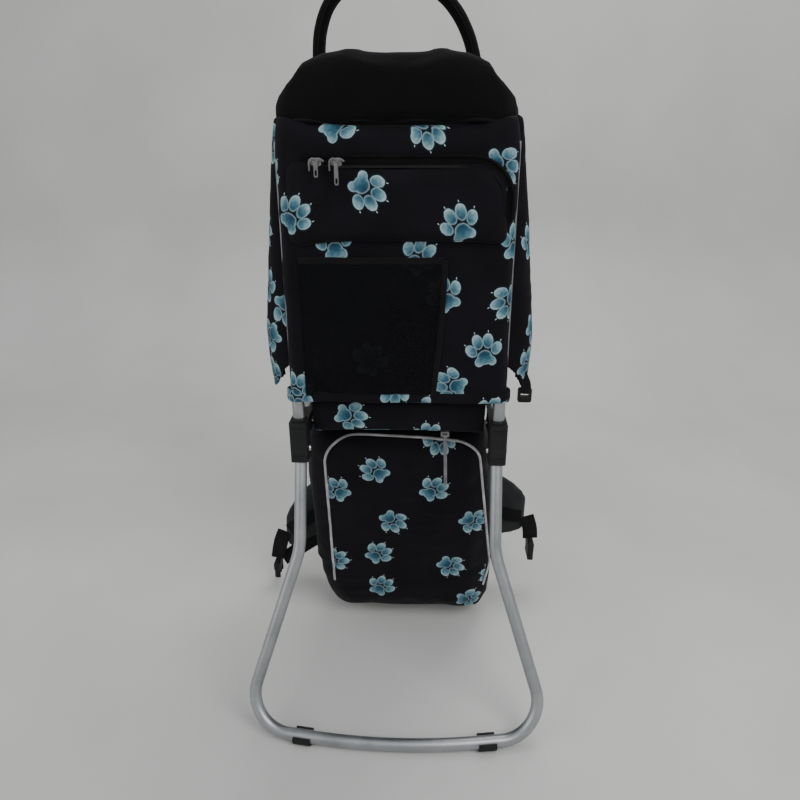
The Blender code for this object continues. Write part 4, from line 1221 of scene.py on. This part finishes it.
def build_bag_trim(bag):
    """Light piping round the bag's rear panel, its zip, and a long tape pull."""
    surface = Surface(bag)
    corners = [(x, z, 0) for x, z in PIPING]
    line = spaced(rounded_path(corners, (0.046, 0.040, 0.040), 10), 0.004)
    cord_piece("bag_piping", on_rear(surface, [(p.x, p.y) for p in line], 0.0007), 0.0019, "piping")
    seam = spaced(rounded_path([(x * 0.965 + 0.0005, z - 0.004, 0) for x, z, _ in corners],
                               (0.046, 0.040, 0.040), 10), 0.004)
    stitches("bag_stitch", on_rear(surface, [(p.x, p.y) for p in seam], 0.0003), "binding")
    z = middle("bag_zip").z
    a, b = low("bag_zip"), high("bag_zip")
    line = [(a.x + (b.x - a.x) * i / 60, z) for i in range(61)]
    path = on_rear(surface, line, 0.0007)
    track = sweep("bag_zip_tape", path, strap_profile(0.0014, 0.012), "zip_tape", "pack", (0, 1, 0))
    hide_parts("bag_zip")
    zip_teeth("bag_zip_teeth", [p + Vector((0, -0.0010, 0)) for p in path])
    centre = middle("bag_slider")
    at = surface.rear(centre.x, z, 0.0022)
    slider("bag_zip_slider", (centre.x, min(at.y, high("bag_slider").y), z), None, "bag_slider", "bag_slider",
           "bag_pull", "bag_pull", 0.076, True)


# ---------------------------------------------------------------- seat, back and harness
def build_seat():
    a, b = low("seat_base"), high("seat_base")
    wall = 0.011
    floor_top = high("crotch_strap").z
    floor_high = a.z + 0.011
    outline = [(a.y, a.z + 0.001), (b.y, a.z + 0.001), (b.y, floor_high - 0.001), (a.y + wall, floor_high - 0.001),
               (a.y + wall, b.z), (a.y, b.z)]
    seat = slab("seat_sling", outline, "X", a.x + 0.001, b.x - 0.001, "printed_fabric")
    puff(seat, 0.004, 0.002, 3.0, 0.0010, 0.05)
    print_on(seat, SEAT_PAWS + tuple((u, v + 1.0, t) for u, v, t in lattice_paws(-0.12, 0.12, -0.08, 0.1, 5.1)),
             lambda co, n: (co.x, co.z) if abs(n.z) < 0.6 else (co.x, 1.0 + co.y))
    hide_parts("seat_base")
    return floor_top


def build_pad(name, node, inset, cap, wrinkle, material):
    """A padded slab across Y inside a CAD solid's box."""
    a, b = low(node), high(node)
    radius = min(0.030, (b.z - a.z) / 3)
    outline = rounded_rect(a.x + inset, b.x - inset, a.z + inset, b.z - inset, radius, 8)
    pad = slab(name, outline, "Y", a.y + inset, b.y - inset, material)
    puff(pad, 0.0055, cap, 4.0, wrinkle, 0.06)
    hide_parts(node)
    return pad


def front_hit(surface, x, z, lift):
    return surface.from_direction((x, 0.6, z), (0, -1, 0), lift)


def build_back():
    """The wearer's panel with air-mesh channels, and the lumbar pad."""
    back = build_pad("back_pad", "back_panel", 0.003, 0.005, 0.0012, "black_fabric")
    lumbar = build_pad("lumbar_cushion", "lumbar_pad", 0.004, 0.006, 0.0014, "black_fabric")
    chest = build_pad("chest_cushion", "chest_pad", 0.002, 0.003, 0.0008, "black_fabric")
    for name, piece, node, count in (("back", back, "back_panel", 2), ("lumbar", lumbar, "lumbar_pad", 1)):
        surface = Surface(piece)
        a, b = low(node), high(node)
        inner = 0.022
        frame_line = rounded_rect(a.x + inner, b.x - inner, a.z + inner, b.z - inner, 0.02, 6)
        flat = [(p.x, p.y) for p in spaced(frame_line, 0.006, True)]
        hits = [front_hit(surface, u, v, 0.0006) for u, v in flat]
        cord_piece(name + "_binding", [h for h in hits if h], 0.0015, "binding", "pack", True, 8)
        for index in range(count):
            x = (index - (count - 1) / 2) * 0.085
            line = [front_hit(surface, x, a.z + inner + (b.z - a.z - 2 * inner) * i / 40, 0.0003) for i in range(41)]
            cord_piece("%s_channel_%d" % (name, index), [h for h in line if h], 0.0012, "binding")
    return back, lumbar, chest


def build_handle():
    """Rolled fabric grab handle with a seam along it and sewn ends."""
    a, b = low("grab_handle"), high("grab_handle")
    radius = (b.y - a.y) / 2
    half = (b.x - a.x) / 2 - radius
    y = (a.y + b.y) / 2
    base = a.z
    rise = b.z - radius - base
    path = []
    for i in range(49):
        turn = pi * i / 48
        reach = abs(cos(turn)) ** 0.75 * (1 if cos(turn) > 0 else -1)
        lean = 0.006 + 0.016 * sin(turn)
        path.append(Vector((-half * reach - lean, y, base + rise * sin(turn) ** 0.85)))
    sewn = 0.034
    for index, end in ((0, path[0]), (len(path), path[-1])):
        inward = 0.010 if end.x < 0 else -0.010
        tail = [end + Vector((inward * share ** 2, 0, -sewn * share)) for share in (0.35, 0.7, 1.0)]
        path[index:index] = tail[::-1] if index == 0 else tail
    sides = 20
    rings = []
    uvs = []
    for i, (point, first, second) in enumerate(frames_along(path, (0, 1, 0))):
        ring = []
        for k in range(sides):
            angle = 2 * pi * k / sides
            size = radius * (1.15 + 0.035 * noise.noise(Vector((i * 0.45, k * 0.7, 2.0))) - 0.03)
            ring.append(point + first * size * cos(angle) + second * size * sin(angle) * 0.92)
            uvs.append((k * radius * 2 * pi / sides, i * 0.0085))
        rings.append(ring)
    handle = loft("handle_roll", rings, "black_fabric", "pack", uvs)
    smooth_shade(handle, 60)
    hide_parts("grab_handle")
    seam = []
    for point, first, second in frames_along(path, (0, 1, 0)):
        seam.append(point - first * radius * 1.12)
    cord_piece("handle_seam", seam[2:-2], 0.0009, "binding", "pack", False, 6)


def shoulder_route(side):
    x = BACK_FACE + 0.012 / 2 + 0.001
    reach = x + 0.062
    points = [(side * 0.046, x, 0.690), (side * 0.048, x + 0.026, 0.728), (side * 0.052, reach - 0.010, 0.716),
              (side * 0.056, reach, 0.660), (side * 0.062, reach, 0.590), (side * 0.070, reach, 0.500),
              (side * 0.084, reach - 0.012, 0.410), (side * 0.098, reach - 0.036, 0.335),
              (side * 0.106, x + 0.006, 0.275), (side * 0.108, x, 0.240)]
    return smooth_path(points, 8)


def build_straps():
    """Padded shoulder straps with bound edges and a webbing run, and the load lifters."""
    for side, name in ((-1, "left"), (1, "right")):
        path = shoulder_route(side)
        pad = sweep("shoulder_pad_" + name, path, pad_profile(0.051, 0.0125), "air_mesh", "pack", (1, 0, 0))
        smooth_shade(pad, 60)
        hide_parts("shoulder_strap_" + name)
        frames = frames_along(path, (1, 0, 0))
        for edge in (-1, 1):
            line = [point + first * edge * 0.0252 for point, first, second in frames]
            cord_piece("shoulder_binding_%s_%d" % (name, edge + 1), line, 0.0019, "binding", "pack", False, 8)
        top = [point - second * 0.0068 * (1 if second.y < 0 else -1) for point, first, second in frames[6:-4]]
        strap("shoulder_webbing_" + name, top, 0.020, 0.0014, "webbing", "pack", (1, 0, 0))
        y = BACK_FACE + 0.002
        over = BACK_FACE + 0.062
        lifter = smooth_path([(side * 0.054, y, 0.782), (side * 0.054, y + 0.026, 0.776),
                              (side * 0.054, over - 0.004, 0.742), (side * 0.055, over + 0.0055, 0.716)], 6)
        piece = strap("lifter_" + name, lifter, 0.020, 0.0016, "webbing")
        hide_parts("load_lifter_" + name)


def side_release(name, centre, size, flip, body, node, kind, axis):
    """Half of a side-release buckle: a socket with side windows or a plug with two prongs."""
    wide, tall, thick = size
    sign = -1 if flip else 1
    if kind == "socket":
        outer = [(-wide / 2, -tall / 2), (wide / 2, -tall / 2), (wide / 2 * 0.98, -tall * 0.05),
                 (wide / 2 * 0.86, tall * 0.12), (wide / 2 * 0.90, tall * 0.30), (wide / 2, tall * 0.42),
                 (wide / 2 * 0.94, tall / 2), (-wide / 2 * 0.94, tall / 2), (-wide / 2, tall * 0.42),
                 (-wide / 2 * 0.90, tall * 0.30), (-wide / 2 * 0.86, tall * 0.12), (-wide / 2 * 0.98, -tall * 0.05)]
    else:
        outer = [(-wide / 2, -tall / 2), (wide / 2, -tall / 2), (wide / 2, -tall * 0.10), (wide * 0.40, -tall * 0.02),
                 (wide * 0.42, tall * 0.30), (wide * 0.36, tall / 2), (wide * 0.26, tall * 0.44),
                 (wide * 0.24, tall * 0.02), (wide * 0.07, tall * 0.02), (wide * 0.05, tall * 0.40),
                 (-wide * 0.05, tall * 0.40), (-wide * 0.07, tall * 0.02), (-wide * 0.24, tall * 0.02),
                 (-wide * 0.26, tall * 0.44), (-wide * 0.36, tall / 2), (-wide * 0.42, tall * 0.30),
                 (-wide * 0.40, -tall * 0.02), (-wide / 2, -tall * 0.10)]
    points = []
    for depth in (-thick / 2, thick / 2):
        for u, v in outer:
            v *= sign
            if axis == "X":
                points.append((centre.x + depth, centre.y + u, centre.z + v))
            elif axis == "Yx":
                points.append((centre.x + v, centre.y + depth, centre.z + u))
            else:
                points.append((centre.x + u, centre.y + depth, centre.z + v))
    piece = make(name, points, ring_faces(2, len(outer)), "black_plastic", body)
    rounded(piece, min(0.0016, thick * 0.25), 3)
    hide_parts(node)
    return piece


def build_belt():
    """Padded belt wings with webbing and buckle halves."""
    y = BELT_FACE - 0.011
    bottom, top = low("lumbar_pad").z, high("lumbar_pad").z
    mid = (bottom + top) / 2
    rows = ((0.1060, y, 0.0060, 0.048, 0.0), (0.1190, y, 0.0070, 0.051, 0.0), (0.128, y, 0.0078, 0.056, 0.05), (0.140, y - 0.002, 0.0092, 0.058, 0.15),
            (0.155, y - 0.006, 0.0095, 0.058, 0.30), (0.172, y - 0.013, 0.0090, 0.053, 0.50),
            (0.188, y - 0.021, 0.0082, 0.045, 0.72), (0.200, y - 0.028, 0.0068, 0.034, 0.90),
            (0.207, y - 0.032, 0.0045, 0.022, 1.0))
    for side, name, droop in ((-1, "left", 0.040), (1, "right", 0.0)):
        body = "belt_" + name
        rings = []
        for x, centre, thick, tall, share in rows:
            z = mid - droop * share + (0.007 if side > 0 else 0.0)
            rings.append([(side * x, centre + thick * u, z + (tall + 0.004) * v)
                          for u, v in rounded_rect(-1, 1, -1, 1, 0.6, 4)])
        wing = loft("belt_pad_" + name, rings, "belt_cloth", body)
        puff(wing, 0.004, 0.003, 3.0, 0.0012, 0.03)
        wing.parent = None
        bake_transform(wing)
        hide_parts("belt_wing_" + name)
        surface = Surface(wing)
        line = []
        for x, centre, thick, tall, share in rows[2:]:
            z = mid - droop * share
            hit = surface.rear(side * x, z, 0.0009)
            if hit:
                line.append(hit)
        if len(line) > 2:
            strap("belt_webbing_" + name, smooth_path(line, 4), 0.024, 0.0016, "webbing", body, (0, 0, 1))
        tip = Vector((side * 0.2095, BELT_FACE - 0.043, mid - droop))
        if side < 0:
            corners = [tip, tip + Vector((-0.008, -0.004, -0.022)), tip + Vector((-0.014, -0.006, -0.052))]
        else:
            corners = [tip, tip + Vector((0.006, -0.004, -0.020)), tip + Vector((0.008, -0.006, -0.040))]
        tail = strap("belt_tail_" + name, smooth_path(corners, 6), 0.025, 0.0016, "webbing", body, (1, 0, 0))
        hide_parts("belt_strap_" + name)
        if side < 0:
            under = [(-0.134, y - 0.012, mid - 0.052), (-0.160, y - 0.020, mid - 0.064),
                     (-0.190, y - 0.030, mid - 0.080), (-0.214, y - 0.038, mid - 0.094)]
            strap("belt_under_strap", smooth_path(under, 6), 0.024, 0.0018, "webbing", body, (0, 0.35, 1))
        kind = "plug" if side < 0 else "socket"
        node = "belt_buckle_" + kind
        c = middle(node)
        size = high(node) - low(node)
        side_release("belt_%s" % kind, c, (size.y, size.z, size.x * 0.8), True, body, node, kind, "X")


def build_harness():
    """Child's harness straps, crotch strap and their buckle; the sternum strap and its buckle."""
    y = PANEL_FRONT + 0.004
    buckle_z = PANEL_BOTTOM + 0.070
    top = high("harness_straps").z
    path = smooth_path([(-0.046, y, top), (-0.044, y + 0.004, top - 0.060), (-0.032, y + 0.008, buckle_z + 0.075),
                        (0.0, y + 0.010, buckle_z + 0.052), (0.032, y + 0.008, buckle_z + 0.075),
                        (0.044, y + 0.004, top - 0.060), (0.046, y, top)], 8)
    straps = sweep("harness_webbing", path, strap_profile(0.0016, 0.020), "webbing", "harness_top", (0, 1, 0))
    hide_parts("harness_straps")
    for node, name, body in (("harness_socket", "chest_socket", "pack"), ("harness_plug", "chest_plug", "harness_top")):
        a, b = low(node), high(node)
        outline = rounded_rect(a.x, b.x, a.z, b.z, 0.005, 6)
        shell = slab(name, outline, "Y", a.y, b.y, "black_plastic", body)
        rounded(shell, 0.0022, 4)
        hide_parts(node)
    slot_y = y + 0.010
    seat_top = low("crotch_strap").z + 0.0008
    path = smooth_path([(0, slot_y, buckle_z - 0.0225), (0, slot_y + 0.004, seat_top + 0.030),
                        (0, slot_y + 0.030, seat_top + 0.006), (0, slot_y + 0.060, seat_top)], 8)
    crotch = strap("crotch_webbing", path, 0.022, 0.0016, "webbing")
    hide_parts("crotch_strap")
    for name, body in (("left", "sternum"), ("right", "sternum_release")):
        node = "sternum_strap_" + name
        a, b = low(node), high(node)
        mid_y, mid_z = (a.y + b.y) / 2, (a.z + b.z) / 2
        line = [Vector((a.x + (b.x - a.x) * i / 12, mid_y, mid_z)) for i in range(13)]
        piece = strap("sternum_webbing_" + name, line, 0.020, 0.0016, "webbing", body, (0, 0, 1))
        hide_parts(node)
    for node, name, body in (("sternum_socket", "chest_clip_socket", "sternum"),
                             ("sternum_plug", "chest_clip_plug", "sternum_release")):
        a, b = low(node), high(node)
        start = a.x if node == "sternum_socket" else high("sternum_socket").x + 0.0004
        outline = rounded_rect(start, b.x, a.z, b.z, 0.004, 6)
        shell = slab(name, outline, "Y", a.y, b.y, "black_plastic", body)
        rounded(shell, 0.0018, 4)
        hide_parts(node)


# ---------------------------------------------------------------- studio
def build_studio():
    """Pale floor that curves up into a backdrop, soft lights and the camera."""
    profile = [(-3.0, 0.0), (0.9, 0.0)] + [(0.9 + 0.5 * sin(radians(t)), 0.5 - 0.5 * cos(radians(t)))
                                          for t in range(10, 91, 10)] + [(1.4, 3.2)]
    points = []
    for x in (-3.5, 3.5):
        points += [(x, y, z) for y, z in profile]
    count = len(profile)
    faces = [(i, i + 1, count + i + 1, count + i) for i in range(count - 1)]
    mesh = bpy.data.meshes.new("studio_floor")
    mesh.from_pydata(points, [], faces)
    mesh.shade_smooth()
    mesh.materials.append(floor_material())
    ground = bpy.data.objects.new("studio_floor", mesh)
    scene.collection.objects.link(ground)

    world = bpy.data.worlds.new("studio_world")
    world.use_nodes = True
    back = world.node_tree.nodes["Background"]
    back.inputs["Color"].default_value = (0.86, 0.90, 0.92, 1.0)
    back.inputs["Strength"].default_value = 0.55
    scene.world = world
    lights = (("key", (1.3, -1.5, 2.1), 1.6, 34.0), ("fill", (-1.8, -1.2, 1.4), 2.0, 16.0),
              ("rim", (0.4, 1.0, 2.4), 1.4, 26.0))
    for name, where, size, power in lights:
        data = bpy.data.lights.new(name, "AREA")
        data.shape = "DISK"
        data.size = size
        data.energy = power
        lamp = bpy.data.objects.new(name, data)
        lamp.location = where
        lamp.rotation_euler = (Vector((0, 0, 0.45)) - Vector(where)).to_track_quat("-Z", "Y").to_euler()
        scene.collection.objects.link(lamp)

    data = bpy.data.cameras.new("camera")
    data.sensor_width = 36.0
    data.lens = 29.4
    data.clip_start = 0.02
    camera = bpy.data.objects.new("camera", data)
    camera.location = (0.036, -0.842, 0.740)
    camera.rotation_euler = (radians(68.1), radians(0.2), radians(2.4))
    scene.collection.objects.link(camera)
    scene.camera = camera


def main():
    build_studio()
    build_tubes()
    build_hinge_trim()
    paint_nodes()
    cover = build_rear()
    pocket = build_upper_pocket()
    build_mesh_pocket(cover)
    build_pocket_zip(pocket, cover)
    build_collar()
    build_side_panels()
    build_side_buckle()
    bag = build_bag()
    build_bag_trim(bag)
    build_seat()
    build_back()
    build_handle()
    build_straps()
    build_belt()
    build_harness()


main()
